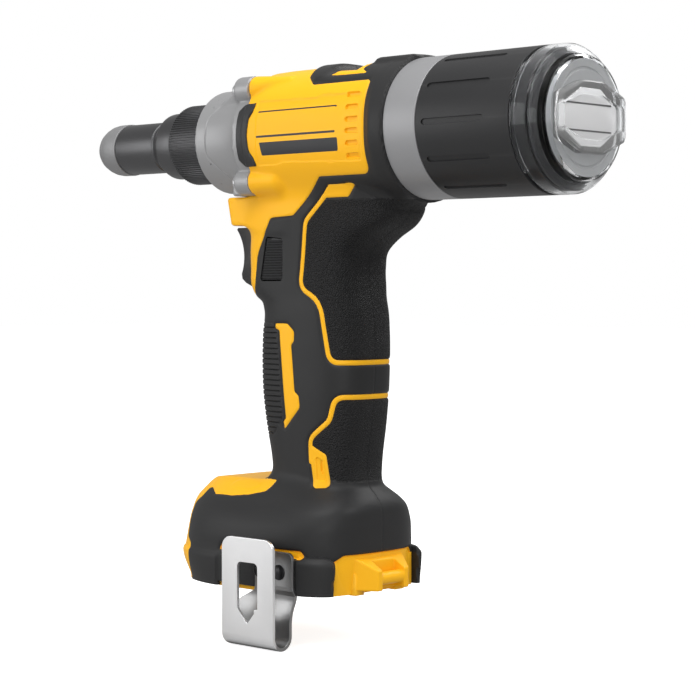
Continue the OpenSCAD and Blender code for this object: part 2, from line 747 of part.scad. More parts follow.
module half_solid() difference() {
  union() {
    difference() {
      union() {
        body_form(0);
        rod(band_d / 2 - 3, band_x + 2, band_len + 2 - seat_gap, 48);
        foot_form(skin);
        difference() {
          union() {
            grip_form(skin);
            chin_form(0);
            intersection() {
              grip_form(0);
              union() {
                side_cut(-60, 60) yellow_zone();
                side_cut(-60, 60) accents(0);
              }
            }
          }
          case_outer(seat_gap, 1);
        }
      }
      inner_room();
    }
    intersection() {
      for (s = house_screws) boss(s);
      union() {
        grip_form(skin);
        foot_form(skin);
        chin_form(0);
      }
    }
  }
  rod(room_r, seam_x + 1, body_len + 2, 48);
  trigger_slot(move_gap);
  lock_slot(move_gap);
  vents();
  cover_form(seat_gap);
  light_rod(4.4, 20, -14);
  lug_spots() rod(case_screw_r + 0.15, seam_x + 1, 20, 12);
  side_cut(body_w / 2 - 1.7, body_w) trim_outline(seat_gap);
  side_cut(-body_w, -body_w / 2 + 1.7) trim_outline(seat_gap);
  translate([grip_x - 150, -100, frame_top - 30]) cube([300, 200, 30]);
  difference() {
    top_tongue(0);
    body_form(-tongue_deep - seat_gap);
  }
}

module left_housing() color(yellow) difference() {
  half_solid();
  translate([-400, -200 + seat_gap / 2, -300]) cube([500, 200, 400]);
  for (s = house_screws) cross_rod(house_screw_r + 0.1, s[0], s[1], -1, house_reach + 1, 12);
}

module right_housing() color(yellow) difference() {
  half_solid();
  translate([-400, -seat_gap / 2, -300]) cube([500, 200, 400]);
  for (s = house_screws) {
    cross_rod(house_screw_r + 0.2, s[0], s[1], -60, 1, 12);
    cross_rod(house_head_r + 0.3, s[0], s[1], -60, -s[2] + 2.6, 16);
  }
}

module rubber_solid() difference() {
  union() {
    grip_form(0);
    foot_form(0);
    band_form(0);
    intersection() {
      body_form(0.7);
      top_tongue(0);
    }
  }
  difference() {
    body_form(seat_gap);
    top_tongue(-seat_gap);
  }
  intersection() {
    body_form(-tongue_deep);
    translate([-400, -100, -100]) cube([500, 200, 200]);
  }
  rod(band_d / 2 - 3 + seat_gap, band_x + 2, band_len + 4, 48);
  grip_form(skin - seat_gap);
  foot_form(skin - seat_gap);
  chin_form(-seat_gap);
  side_cut(-60, 60) yellow_zone();
  intersection() {
    side_cut(-60, 60) accents(seat_gap);
    translate([grip_x - 100, -60, grip_foot - 8]) cube([200, 120, grip_h + 40]);
  }
  lock_slot(move_gap);
  cover_form(seat_gap);
  light_rod(4.4, 20, -14);
  foot_windows(0);
  translate([grip_x - 150, -100, foot_low - 20]) cube([300, 200, 20.4]);
  for (sy = [-1, 1]) cross_rod(4, hook_x, hook_screw_z, sy > 0 ? 20 : -60, sy > 0 ? 60 : -20, 16);
  for (i = [0:grip_ribs - 1]) translate([grip_x + half_depth + 1.4, 0, grip_z(0.45) - i * 2.4])
    cube([2.2, 24, 1], center = true);
}

module left_overmould() color(rubber) difference() {
  rubber_solid();
  translate([-400, -200 + seat_gap / 2, -300]) cube([500, 200, 400]);
}

module right_overmould() color(rubber) difference() {
  rubber_solid();
  translate([-400, -seat_gap / 2, -300]) cube([500, 200, 400]);
  for (s = house_screws) cross_rod(house_head_r + 0.5, s[0], s[1], -60, -s[2] + 2.6, 16);
}

module housing_screws() color(dark) for (s = house_screws) difference() {
  union() {
    cross_rod(house_screw_r, s[0], s[1], -s[2], house_reach, 24);
    cross_rod(house_head_r, s[0], s[1], -s[2], -s[2] + 2.4, 32);
  }
  translate([s[0], -s[2] + 1.2, s[1]]) rotate([90, 0, 0]) cylinder(r = 1.5, h = 3, $fn = 6);
}

module foot_cover() color(yellow) difference() {
  cover_form(0);
  translate([(cover_front + cover_rear) / 2 - 2, 0, foot_top + 0.4]) linear_extrude(6) round_box(16, 24,
    7.9);
  light_rod(4.1, 30, -12);
}

module work_light() color(clear) {
  light_rod(4, 8, -8);
  intersection() {
    light_rod(4, 4, 0);
    translate(light_spot) rotate([0, light_tilt, 0]) translate([0, 0, -5]) sphere(6.4, $fn = 48);
  }
}

// Foot underside

module rail_frame() color(yellow) difference() {
  union() {
    translate([0, 0, frame_low]) linear_extrude(frame_top - frame_low - seat_gap) polygon(foot_plan(skin
      + seat_gap, skin + 2));
    for (sy = [-1, 1]) translate([bar_x - bar_d / 2 - 1, sy * (bar_half - 3) - 3, bar_z - 5])
      cube([frame_rear - bar_x + bar_d / 2 + 3, 6, 10]);
    cross_rod(bar_d / 2, bar_x, bar_z, -bar_half, bar_half, 40);
  }
  translate([bay_end, -bay_w / 2, bay_top - 5.2]) cube([200, bay_w, 5.2]);
  translate([bay_end, -bay_w / 2 + 3, frame_low - 1]) cube([200, bay_w - 6, bay_h]);
  translate([terminal_x, 0, frame_top - 4])
    cube([terminal_long + 0.4, terminal_wide + 0.4, 20], center = true);
  for (sy = [-1, 1]) cross_rod(3 + seat_gap, hook_x, hook_screw_z, sy > 0 ? frame_half - 6.6 : -60,
    sy > 0 ? 60 : -frame_half + 6.6, 32);
}

hook_screw_r = 2;
insert_len = 6.4;

module hook_inserts() color(brass) for (sy = [-1, 1]) difference() {
  cross_rod(3, hook_x, hook_screw_z, sy > 0 ? frame_half - insert_len : -frame_half,
    sy > 0 ? frame_half : -frame_half + insert_len, 48);
  cross_rod(hook_screw_r - 0.35, hook_x, hook_screw_z, -60, 60, 48);
}

hook_top = hook_low + hook_h;
leaf_top = hook_screw_z + 9;

module hook_window() {
  translate([0, hook_low + 26]) round_box(12.5, 17, 3);
  polygon([[-6.25, hook_low + 20], [0, hook_low + 11.5], [6.25, hook_low + 20]]);
}

module belt_hook() color(steel) translate([hook_x, 0, 0]) {
  bend_z = hook_low + hook_bend;
  side_cut(hook_plate_y, hook_plate_y + hook_t) difference() {
    union() {
      translate([0, hook_top - 8]) round_box(hook_w, 16, 6);
      translate([0, (bend_z + hook_top - 8) / 2]) square([hook_w, hook_top - 8 - bend_z], center = true);
    }
    hook_window();
  }
  difference() {
    translate([-hook_w / 2, hook_y + hook_bend, bend_z]) rotate([0, 90, 0]) cylinder(r = hook_bend,
      h = hook_w, $fn = 64);
    translate([-hook_w, hook_y + hook_bend, bend_z]) rotate([0, 90, 0])
      cylinder(r = hook_bend - hook_t, h = 2 * hook_w, $fn = 64);
    translate([-hook_w, hook_y - 5, bend_z]) cube([2 * hook_w, 40, 20]);
  }
  side_cut(hook_y, hook_y + hook_t) difference() {
    union() {
      translate([0, (bend_z + hook_screw_z - 14) / 2]) square([hook_w, hook_screw_z - 14 - bend_z],
        center = true);
      translate([0, hook_screw_z - 10]) circle(hook_w / 2 + 1.4, $fn = 64);
      translate([0, (hook_screw_z - 10 + leaf_top) / 2]) square([hook_w - 8, leaf_top - hook_screw_z
        + 10], center = true);
    }
    translate([0, hook_screw_z]) circle(hook_screw_r + 0.25, $fn = 40);
    translate([0, hook_low + 2 * hook_bend - 60]) square(100, center = true);
  }
}

module hook_screw() color(dark) difference() {
  union() {
    cross_rod(hook_screw_r - 0.4, hook_x, hook_screw_z, frame_half - 5, hook_y + hook_t + 0.5, 40);
    cross_rod(4, hook_x, hook_screw_z, hook_y + hook_t + 0.05, hook_y + hook_t + 2.4, 48);
  }
  translate([hook_x, hook_y + hook_t + 4, hook_screw_z]) rotate([90, 0, 0]) cylinder(r = 1.9, h = 3,
    $fn = 6);
}

// Trigger, switch and lock

module trigger() color(rubber) difference() {
  union() {
    side_cut(-trigger_half, trigger_half) difference() {
      polygon([[trigger_rear, trigger_top], [trigger_tip - 1.5, trigger_top], [trigger_tip,
        trigger_top - 1.5],
        [trigger_tip - 4.4, trigger_low + 6], [trigger_tip - 7, trigger_low + 4], [trigger_rear + 4,
          trigger_low],
        [trigger_rear, trigger_low]]);
      translate([trigger_tip + 14.4, trigger_top - 14]) circle(20, $fn = 96);
    }
    translate([0, 0, plunger_z]) rod(plunger_r, trigger_rear + 1, 11, 40);
  }
}

module trigger_switch() color(dark) difference() {
  translate([switch_x - switch_len, -switch_half, trigger_low - 1]) cube([switch_len, 2 * switch_half,
    trigger_h + 1.6]);
  translate([0, 0, plunger_z]) rod(plunger_r + move_gap, switch_x + 1, 20, 40);
  cross_rod(lock_pin_r + move_gap, lock_px, lock_pz, -40, 40, 40);
}

module lock_button() color(rubber) {
  cross_rod(lock_pin_r, lock_px, lock_pz, -lock_in - 1, lock_in + 1, 40);
  for (sy = [-1, 1]) difference() {
    translate([lock_px, sy * (lock_in + lock_out) / 2, lock_pz])
      cube([lock_long, lock_out - lock_in, lock_tall], center = true);
    for (i = [-3:3]) translate([lock_px, sy * lock_out, lock_pz + 2.4 * i])
      cube([lock_long - 3, 1, 0.9], center = true);
  }
}

// Collector

module rear_ring() color(grey) difference() {
  turned([[0, rear_x], [jar_r - 0.6, rear_x], [jar_r, rear_x - 0.6], [jar_r, ring_x],
    [jar_r - jar_wall - seat_gap, ring_x],
    [jar_r - jar_wall - seat_gap, ring_x - 8], [0, ring_x - 8]]);
  turned([[0, ring_x - 9], [jar_r - 2 * jar_wall, ring_x - 9], [jar_r - 2 * jar_wall, ring_x + 2], [9,
    ring_x + 6],
    [0, ring_x + 6]]);
  rod(tube_r + seat_gap, rear_x + 5, ring_len + 10, 48);
  rod(room_r - 3, rear_x + 1, 5, 64);
}

module collection_barrel() color(rubber) difference() {
  turned([[jar_r - jar_wall, ring_x - seat_gap], [jar_r, ring_x - seat_gap], [jar_r, skirt_x + move_gap],
    [jar_r - 1.7, skirt_x + move_gap], [jar_r - 1.7, jar_x + 0.4], [jar_r - jar_wall, jar_x + 0.4]]);
  intersection() {
    pipe(jar_r + 1, jar_r - 1.7, skirt_x + tab_len + move_gap, tab_len + 2);
    translate([skirt_x, 0, 0]) cube([20, 3 * jar_r, tab_tall + 2 * move_gap], center = true);
  }
  for (i = [0:flutes - 1]) rotate([360 * i / flutes, 0, 0]) {
    translate([ring_x - 4 - flute_len, -flute_w / 2, jar_r - 0.7]) cube([flute_len, flute_w, 3]);
    for (x = [0, flute_len]) translate([ring_x - 4 - x, 0, jar_r - 0.7]) cylinder(r = flute_w / 2,
      h = 3, $fn = 24);
  }
}

tab_len = 4.6;
tab_tall = 1.46 * jar_r;
cone_in = 5.4;
lens_out = 8.5;
bar_out = 12.5;

module bar_outline(grow) {
  a = bar_len / 2 + grow;
  m = bar_mid / 2 + grow;
  e = bar_end / 2 + grow;
  polygon([[-a, -e + 2], [-a + 2, -e], [-a / 3, -m], [a / 3, -m], [a - 2, -e], [a, -e + 2], [a, e - 2],
    [a - 2, e],
    [a / 3, m], [-a / 3, m], [-a + 2, e], [-a, e - 2]]);
}

module on_cap(x0, len) translate([x0 - len, 0, 0]) rotate([90, 0, 90]) linear_extrude(len) children();

module end_cap() color(clear) {
  difference() {
    union() {
      turned([[jar_r - 1.4, skirt_x], [jar_r, skirt_x], [jar_r, jar_x - 2], [jar_r - 1, jar_x - 3.6],
          [jar_r - 4, jar_x - cone_in], [lens_d / 2, jar_x - cone_in], [lens_d / 2, jar_x - lens_out
            + 1], [lens_d / 2 - 1, jar_x - lens_out],
          [0, jar_x - lens_out], [0, jar_x - lens_out + 2.4], [lens_d / 2 - 2.6, jar_x - lens_out + 2.4],
          [lens_d / 2 - 2.6, jar_x - cone_in + 2], [jar_r - 4.5, jar_x - cone_in + 2], [jar_r - 1.4,
            jar_x - 1]]);
      intersection() {
        pipe(jar_r, jar_r - 1.4, skirt_x + tab_len, tab_len + 1);
        translate([skirt_x, 0, 0]) cube([20, 3 * jar_r, tab_tall], center = true);
      }
      on_cap(jar_x - lens_out + 0.6, bar_out - lens_out + 0.6) bar_outline(0);
    }
    on_cap(jar_x - bar_out + 4.4, 10) bar_outline(-2.4);
  }
}

module cap_plate() color(grey) on_cap(jar_x - bar_out + 4.4 - seat_gap, 1.2) bar_outline(-2.8);

module cap_seal() color(rubber) translate([jar_x - 0.6, 0, 0]) rotate([0, 90, 0])
  rotate_extrude($fn = 96) translate([jar_r - 3, 0]) circle(0.9, $fn = 32);

// Pulling train

module jaw_case() color(steel) turned([[jaw_mouth_r, jaw_case_x], [jaw_case_r - 0.8, jaw_case_x],
  [jaw_case_r, jaw_case_x - 0.8], [jaw_case_r, jaw_case_x - jaw_case_len], [jaw_room_r,
    jaw_case_x - jaw_case_len],
  [jaw_room_r, jaw_case_x - cone_len]]);

module jaw(turn) color(dark) rotate([turn, 0, 0]) difference() {
  gap = 0.06;
  turned([[1.5, jaw_case_x - jaw_front],
    [jaw_mouth_r + jaw_front * cone_slope - gap, jaw_case_x - jaw_front],
    [jaw_room_r - jaw_spare * cone_slope - gap, jaw_rear], [1.5, jaw_rear]], 64);
  for (sy = [-1, 1]) rotate([sy * 60, 0, 0])
    translate([jaw_case_x - cone_len - 1, sy < 0 ? 0 - jaw_slit / 2 : -40 + jaw_slit / 2, -40])
      cube([cone_len + 2, 40, 80]);
  translate([jaw_case_x - cone_len - 1, -40, -80]) cube([cone_len + 2, 80, 80]);
}

module jaw_1() jaw(0);
module jaw_2() jaw(120);
module jaw_3() jaw(240);

module jaw_pusher() color(steel) pipe(pusher_r, screw_bore_r, pusher_x, push_plate, 64);

module jaw_spring() color(steel) {
  coils = 3.5;
  wire = 0.7;
  steps = 14;
  sides = 6;
  x0 = pusher_x - push_plate - wire - 0.05;
  x1 = hub_x + wire + 0.05;
  r = pusher_r - wire;
  last = coils * steps;
  points = [for (i = [0:last], k = [0:sides - 1]) let (a = 360 * i / steps, b = 360 * k / sides)
    [x0 + (x1 - x0) * i / last + wire * sin(b), (r + wire * cos(b)) * cos(a), (r + wire * cos(b))
      * sin(a)]];
  polyhedron(points, concat([[for (k = [0:sides - 1]) k]],
    [for (i = [0:last - 1], k = [0:sides - 1]) let (n = (k + 1) % sides)
      [i * sides + n, i * sides + k, (i + 1) * sides + k, (i + 1) * sides + n]],
    [[for (k = [sides - 1:-1:0]) last * sides + k]]));
}

module ball_screw() color(steel) turned([[screw_bore_r, hub_x], [jaw_room_r - seat_gap, hub_x],
  [jaw_room_r - seat_gap, hub_x - hub_len], [screw_r, hub_x - hub_len], [screw_r, screw_end + 0.8],
  [screw_r - 0.8, screw_end], [screw_bore_r, screw_end]]);

module ball_nut() color(dark) turned([[screw_r + 0.15, nut_x], [nut_flange_r, nut_x],
  [nut_flange_r, nut_x - nut_flange_len], [nut_r, nut_x - nut_flange_len], [nut_r, carrier_x], [screw_r
    + 0.15, carrier_x]]);

module thrust_bearing() color(steel) {
  third = thrust_len / 3;
  inner = screw_r + 3;
  pipe(thrust_r, inner, thrust_x - seat_gap, third);
  pipe(thrust_r - 1, inner, thrust_x - thrust_len + third, third - 0.1);
  for (i = [0:11]) rotate([30 * i, 0, 0]) translate([thrust_x - thrust_len / 2, 0, (thrust_r + inner) / 2])
    sphere(third / 2 - 0.14, $fn = 24);
}

module nut_bearing() color(steel) bearing(nut_r + 0.05, nut_bearing_r, nut_bearing_x, nut_bearing_len);

module planet_spots() for (i = [0:2]) rotate([120 * i, 0, 0]) translate([0, 0, planet_orbit]) children();

module planet_carrier() color(grey) difference() {
  rod(carrier_r, carrier_x, carrier_len);
  rod(screw_r + 0.4, carrier_x + 1, carrier_len + 2);
  planet_spots() rod(pin_r + 0.02, carrier_x + 1, carrier_len + 2, 40);
}

module planet_pins() color(steel) planet_spots() rod(pin_r, carrier_x - 0.2, carrier_len + gear_len
  + 0.6, 40);

// Planet i at its place, turned so that a gap faces the sun and a gap faces the ring
module planet(i) color(steel) rotate([120 * i, 0, 0]) translate([0, 0, planet_orbit]) difference() {
  gear([for (p = gear_points(planet_teeth, tooth_tip, tooth_root, -backlash))
    let (a = 180 / planet_teeth + 90) [p[0] * cos(a) - p[1] * sin(a), p[0] * sin(a) + p[1] * cos(a)]],
      gear_x, gear_len);
  rod(pin_r + 0.05, gear_x + 1, gear_len + 2, 40);
}

module planet_1() planet(0);
module planet_2() planet(1);
module planet_3() planet(2);

module ring_gear() color(grey) difference() {
  rod(ring_gear_r, gear_x + 0.1, gear_len + 0.8);
  gear([for (p = gear_points(ring_teeth, tooth_root, tooth_tip, backlash))
    let (a = 180 / ring_teeth + 90) [p[0] * cos(a) - p[1] * sin(a), p[0] * sin(a) + p[1] * cos(a)]],
      gear_x + 1, gear_len + 3);
}

// Motor

module rotor_shaft() color(steel) difference() {
  union() {
    gear([for (p = gear_points(sun_teeth, tooth_tip, tooth_root, -backlash)) [-p[1], p[0]]], gear_x,
      gear_len);
    rod(shaft_r - 0.02, gear_x - gear_len / 2, gear_x - gear_len / 2 - holder_end + 0.6);
  }
  rod(shaft_bore_r, gear_x + 1, 200);
}

module rotor_core() color(dark) pipe(rotor_r, shaft_r + 0.02, stator_x, stator_len);

stator_teeth = 6;
tooth_w = 5.6;
yoke = 4.4;

module stator_core() color(grey) difference() {
  union() {
    pipe(stator_r, stator_r - yoke, stator_x, stator_len);
    for (i = [0:stator_teeth - 1]) rotate([360 * i / stator_teeth, 0, 0])
      translate([stator_end, -tooth_w / 2, rotor_r]) cube([stator_len, tooth_w, stator_r - rotor_r - 2]);
    intersection() {
      pipe(rotor_r + air_gap + 1.8, rotor_r, stator_x, stator_len);
      for (i = [0:stator_teeth - 1]) rotate([360 * i / stator_teeth, 0, 0])
        translate([stator_end, -6, rotor_r - 4]) cube([stator_len, 12, 10]);
    }
  }
  rod(rotor_r + air_gap, stator_x + 1, stator_len + 2);
}

coil_t = 1.7;

module stator_windings() color(copper) for (i = [0:stator_teeth - 1]) rotate([360 * i / stator_teeth, 0,
  0]) {
  slot = 0.15;
  half = tooth_w / 2 + coil_t + slot;
  low = rotor_r + air_gap + 2.2;
  high = sqrt(pow(stator_r - yoke, 2) - pow(half, 2)) - slot;
  difference() {
    translate([coil_end, -half, low])
      cube([stator_len + 2 * coil_over, 2 * half, high - low]);
    translate([stator_end - slot, -tooth_w / 2 - slot, low - 1])
      cube([stator_len + 2 * slot, tooth_w + 2 * slot, high - low + 2]);
  }
}

module motor_plate() color(grey) difference() {
  rod(ring_gear_r, plate_x, plate_len - seat_gap);
  rod(shaft_r + 1, plate_x + 1, plate_len + 2);
  rod(motor_bearing_r + 0.03, plate_end + motor_bearing_len, plate_len);
}

module front_bearing() color(steel)
  bearing(shaft_r + 0.05, motor_bearing_r, plate_end + motor_bearing_len - 0.05, motor_bearing_len - 0.1);

module rear_bearing() color(steel)
  bearing(shaft_r + 0.05, motor_bearing_r, holder_x - 0.1, motor_bearing_len - 0.1);

module bearing_holder() color(dark) difference() {
  rod(stator_r, holder_x, holder_len);
  rod(motor_bearing_r + 0.03, holder_x + 1, motor_bearing_len + 1);
  rod(shaft_r + 1, holder_x + 1, holder_len + 2);
  for (i = [0:7]) rotate([45 * i, 0, 0]) translate([holder_end - 1, -3, motor_bearing_r + 3]) cube([20,
    6, 6.4]);
}

module sensor_board() color(board) pipe(stator_r - 2, shaft_r + 2, board_x, board_len);

module fan() color(dark) {
  disc = 1.4;
  fan_r = room_r - 3;
  difference() {
    union() {
      rod(shaft_r + 2, fan_x, fan_len);
      rod(fan_r, fan_x - fan_len + disc, disc);
      for (i = [0:fan_blades - 1]) rotate([360 * i / fan_blades, 0, 0])
        translate([fan_x - fan_len + 0.2, -0.6, shaft_r + 1.4]) cube([fan_len - 1.2, 1.2,
          fan_r - shaft_r - 2]);
    }
    rod(shaft_r + 0.02, fan_x + 1, fan_len + 2);
  }
}

module guide_tube() color(steel) pipe(tube_r, tube_r - tube_wall, tube_x, tube_x - tube_end, 48);

// Wiring and electronics

controller_x = grip_x + 16;
controller_long = 60;
controller_wide = 42;
controller_low = frame_top + 0.4;
controller_tall = foot_top - foot_roof - controller_low - 3.8;
terminal_x = grip_x - 4;
terminal_long = 34;
terminal_wide = 40;

module motor_leads() color(rubber) {
  path = smooth([[grip_x - 8, controller_low + controller_tall + 0.3], [grip_x - 10, grip_z(0.95)],
    [grip_x - 12, grip_z(0.8)], [grip_x - 13, grip_z(0.55)], [grip_x - 15, grip_z(0.3)],
    [grip_x - 22, grip_z(0.14)], [board_x - 0.6 + 2.6, grip_z(0.05)], [board_x + 1.9, -room_r + 3]], 4);
  for (y = [-5, 0, 5]) lead(path, y, 1.1);
}

module switch_leads() color(rubber) {
  path = smooth([[switch_x - 12, trigger_low - 1.1], [switch_x - 12, trigger_low - 14], [grip_x + 6,
    grip_z(0.6)],
    [grip_x + 4, grip_z(0.85)], [grip_x + 6, controller_low + controller_tall + 0.3]], 4);
  for (y = [-4, 4]) lead(path, y, 1.1);
}

module controller() color(board) translate([controller_x, 0, controller_low + controller_tall / 2])
  cube([controller_long, controller_wide, controller_tall], center = true);

module terminal_block() color(rubber) difference() {
  translate([terminal_x, 0, (controller_low - 0.3 + bay_top - 6) / 2])
    cube([terminal_long, terminal_wide, controller_low - 0.3 - bay_top + 6], center = true);
  for (i = [-2:2]) translate([terminal_x + terminal_long / 2, 7 * i, bay_top - 3]) cube([20, 3, 8],
    center = true);
}

module terminal_blades() color(steel) for (i = [-2:2])
  translate([terminal_x + terminal_long / 2 - 5, 7 * i, bay_top - 3]) cube([9.8, 0.9, 5], center = true);

nosepiece();
nose_housing();
lock_ring();
gear_case();
case_screws();
left_trim();
right_trim();
left_housing();
right_housing();
left_overmould();
right_overmould();
housing_screws();
foot_cover();
work_light();
rail_frame();
hook_inserts();
belt_hook();
hook_screw();
trigger();
trigger_switch();
lock_button();
rear_ring();
collection_barrel();
end_cap();
cap_plate();
cap_seal();
jaw_case();
jaw_1();
jaw_2();
jaw_3();
jaw_pusher();
jaw_spring();
ball_screw();
ball_nut();
thrust_bearing();
nut_bearing();
planet_carrier();
planet_pins();
planet_1();
planet_2();
planet_3();
ring_gear();
rotor_shaft();
rotor_core();
stator_core();
stator_windings();
motor_plate();
front_bearing();
rear_bearing();
bearing_holder();
sensor_board();
fan();
guide_tube();
motor_leads();
switch_leads();
controller();
terminal_block();
terminal_blades();
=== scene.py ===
"""Looks of a battery rivet tool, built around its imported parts. Shapes are worked out in millimetres."""

import json
import math
from contextlib import contextmanager

import bmesh
import bpy
import numpy as np
from mathutils import Matrix, Vector


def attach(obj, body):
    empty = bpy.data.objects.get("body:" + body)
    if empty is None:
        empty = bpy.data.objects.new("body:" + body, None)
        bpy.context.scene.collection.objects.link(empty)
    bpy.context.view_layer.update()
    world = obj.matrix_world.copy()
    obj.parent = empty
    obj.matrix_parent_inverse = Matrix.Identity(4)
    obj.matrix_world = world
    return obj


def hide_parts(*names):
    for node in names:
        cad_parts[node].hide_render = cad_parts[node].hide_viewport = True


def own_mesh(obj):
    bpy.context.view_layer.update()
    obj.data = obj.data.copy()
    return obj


MM = 0.001
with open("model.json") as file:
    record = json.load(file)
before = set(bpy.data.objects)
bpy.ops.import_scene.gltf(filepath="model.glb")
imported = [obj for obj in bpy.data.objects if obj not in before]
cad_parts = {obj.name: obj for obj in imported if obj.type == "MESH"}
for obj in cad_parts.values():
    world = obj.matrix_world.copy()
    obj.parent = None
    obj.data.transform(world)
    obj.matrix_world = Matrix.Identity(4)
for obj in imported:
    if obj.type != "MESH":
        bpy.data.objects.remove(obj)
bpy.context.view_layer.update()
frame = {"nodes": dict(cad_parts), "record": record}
nodes = frame["nodes"]
body_of_node = {n: b for b, members in frame["record"]["behaviour"]["bodies"].items() for n in members}
scene = bpy.context.scene


# Shader trees

MIX_FIRST, MIX_SECOND, MIX_RESULT = 6, 7, 2  # sockets of the Mix node that carry colours


def feed(tree, node, sockets):
    """Each named socket of a node takes a value or a link."""
    for key, value in sockets.items():
        if isinstance(value, bpy.types.NodeSocket):
            tree.links.new(value, node.inputs[key])
        else:
            node.inputs[key].default_value = value


def add(tree, kind, sockets=None, **settings):
    """A new node with its settings and sockets."""
    node = tree.nodes.new(kind)
    for key, value in settings.items():
        setattr(node, key, value)
    feed(tree, node, sockets or {})
    return node


def own_place(tree):
    return add(tree, "ShaderNodeTexCoord").outputs["Object"]


def maths(tree, operation, *values, **settings):
    return add(tree, "ShaderNodeMath", dict(enumerate(values)), operation=operation, **settings).outputs[0]


def scaled(tree, colour, by):
    return add(tree, "ShaderNodeVectorMath", {0: colour, "Scale": by}, operation="SCALE").outputs[0]


def noise(tree, **sockets):
    return add(tree, "ShaderNodeTexNoise", sockets).outputs["Fac"]


def bump(tree, **sockets):
    return add(tree, "ShaderNodeBump", {"Strength": 1.0, **sockets}).outputs[0]


def shader_group(name, inputs, outputs):
    """An empty group with its named sockets."""
    tree = bpy.data.node_groups.new(name, "ShaderNodeTree")
    for title, kind, value in inputs:
        socket = tree.interface.new_socket(title, in_out="INPUT", socket_type="NodeSocket" + kind)
        socket.default_value = value
    for title, kind in outputs:
        tree.interface.new_socket(title, in_out="OUTPUT", socket_type="NodeSocket" + kind)
    return tree, tree.nodes.new("NodeGroupInput").outputs, tree.nodes.new("NodeGroupOutput")


def moulded_grain():
    """Fine grain as a normal, with slow drifts of shade and roughness."""
    tree, given, out = shader_group(
        "moulded_grain",
        [("Color", "Color", (0.5, 0.5, 0.5, 1)), ("Shade", "Float", 0.05), ("Roughness", "Float", 0.5),
         ("Spread", "Float", 0.08), ("Grain Scale", "Float", 2500.0), ("Grain Depth", "Float", 0.00002)],
        [("Color", "Color"), ("Roughness", "Float"), ("Normal", "Vector")])
    place = own_place(tree)
    drift = noise(tree, Vector=place, Scale=55.0, Detail=4.0, Roughness=0.6)
    fine = noise(tree, Vector=place, Scale=given["Grain Scale"], Detail=2.0)
    centred = maths(tree, "SUBTRACT", drift, 0.5)
    shade = maths(tree, "MULTIPLY_ADD", centred, given["Shade"], 1.0)
    feed(tree, out, {
        "Color": scaled(tree, given["Color"], shade),
        "Roughness": maths(tree, "MULTIPLY_ADD", centred, given["Spread"], given["Roughness"]),
        "Normal": bump(tree, Distance=given["Grain Depth"], Height=fine)})
    return tree


def edge_rub():
    """Colour rubbed towards another along raised edges."""
    tree, given, out = shader_group(
        "edge_rub",
        [("Color", "Color", (0.5, 0.5, 0.5, 1)), ("Rubbed", "Color", (0.7, 0.7, 0.7, 1)),
         ("Amount", "Float", 0.3)],
        [("Color", "Color"), ("Mask", "Float")])
    patchy = noise(tree, Vector=own_place(tree), Scale=180.0, Detail=3.0)
    raised = add(tree, "ShaderNodeNewGeometry").outputs["Pointiness"]
    edge = add(tree, "ShaderNodeMapRange", {"Value": raised, "From Min": 0.52, "From Max": 0.62}).outputs[0]
    worn = maths(tree, "MULTIPLY", edge, patchy)
    mask = maths(tree, "MULTIPLY", worn, given["Amount"], use_clamp=True)
    blend = {0: mask, MIX_FIRST: given["Color"], MIX_SECOND: given["Rubbed"]}
    mixed = add(tree, "ShaderNodeMix", blend, data_type="RGBA").outputs[MIX_RESULT]
    feed(tree, out, {"Color": mixed, "Mask": mask})
    return tree


def drawn_lines():
    """Brushed or turned lines: noise stretched along chosen axes."""
    tree, given, out = shader_group(
        "drawn_lines",
        [("Stretch", "Vector", (40.0, 2500.0, 2500.0)), ("Roughness", "Float", 0.3),
         ("Spread", "Float", 0.15), ("Depth", "Float", 0.000006)],
        [("Roughness", "Float"), ("Normal", "Vector")])
    pulled = add(tree, "ShaderNodeVectorMath", {0: own_place(tree), 1: given["Stretch"]},
                 operation="MULTIPLY").outputs[0]
    lines = noise(tree, Vector=pulled, Scale=1.0, Detail=3.0)
    centred = maths(tree, "SUBTRACT", lines, 0.5)
    feed(tree, out, {
        "Roughness": maths(tree, "MULTIPLY_ADD", centred, given["Spread"], given["Roughness"]),
        "Normal": bump(tree, Distance=given["Depth"], Height=lines)})
    return tree


def pebbles():
    """Small pebbled bumps, as moulded into grip rubber."""
    tree, given, out = shader_group(
        "pebbles",
        [("Mask", "Float", 1.0), ("Scale", "Float", 1300.0), ("Depth", "Float", 0.00012),
         ("Normal", "Vector", (0, 0, 0))],
        [("Normal", "Vector"), ("Hollow", "Float")])
    cells = add(tree, "ShaderNodeTexVoronoi", {"Vector": own_place(tree), "Scale": given["Scale"]},
                feature="F1").outputs["Distance"]
    hollow = maths(tree, "MULTIPLY", cells, given["Mask"])
    height = maths(tree, "SUBTRACT", 0.0, hollow)
    feed(tree, out, {
        "Normal": bump(tree, Distance=given["Depth"], Height=height, Normal=given["Normal"]),
        "Hollow": hollow})
    return tree


GRAIN, RUB, LINES, PEBBLES = moulded_grain(), edge_rub(), drawn_lines(), pebbles()


# Finishes


def spaced(sockets):
    """Sockets given as keywords, under their names with spaces."""
    return {key.replace("_", " "): value for key, value in sockets.items()}


def blank(name):
    """A material with a bare shader."""
    made = bpy.data.materials.new(name)
    made.use_nodes = True
    tree = made.node_tree
    tree.nodes.clear()
    shader = add(tree, "ShaderNodeBsdfPrincipled")
    add(tree, "ShaderNodeOutputMaterial", {"Surface": shader.outputs[0]})
    return made, tree, shader


def use(tree, group, **sockets):
    return add(tree, "ShaderNodeGroup", spaced(sockets), node_tree=group).outputs


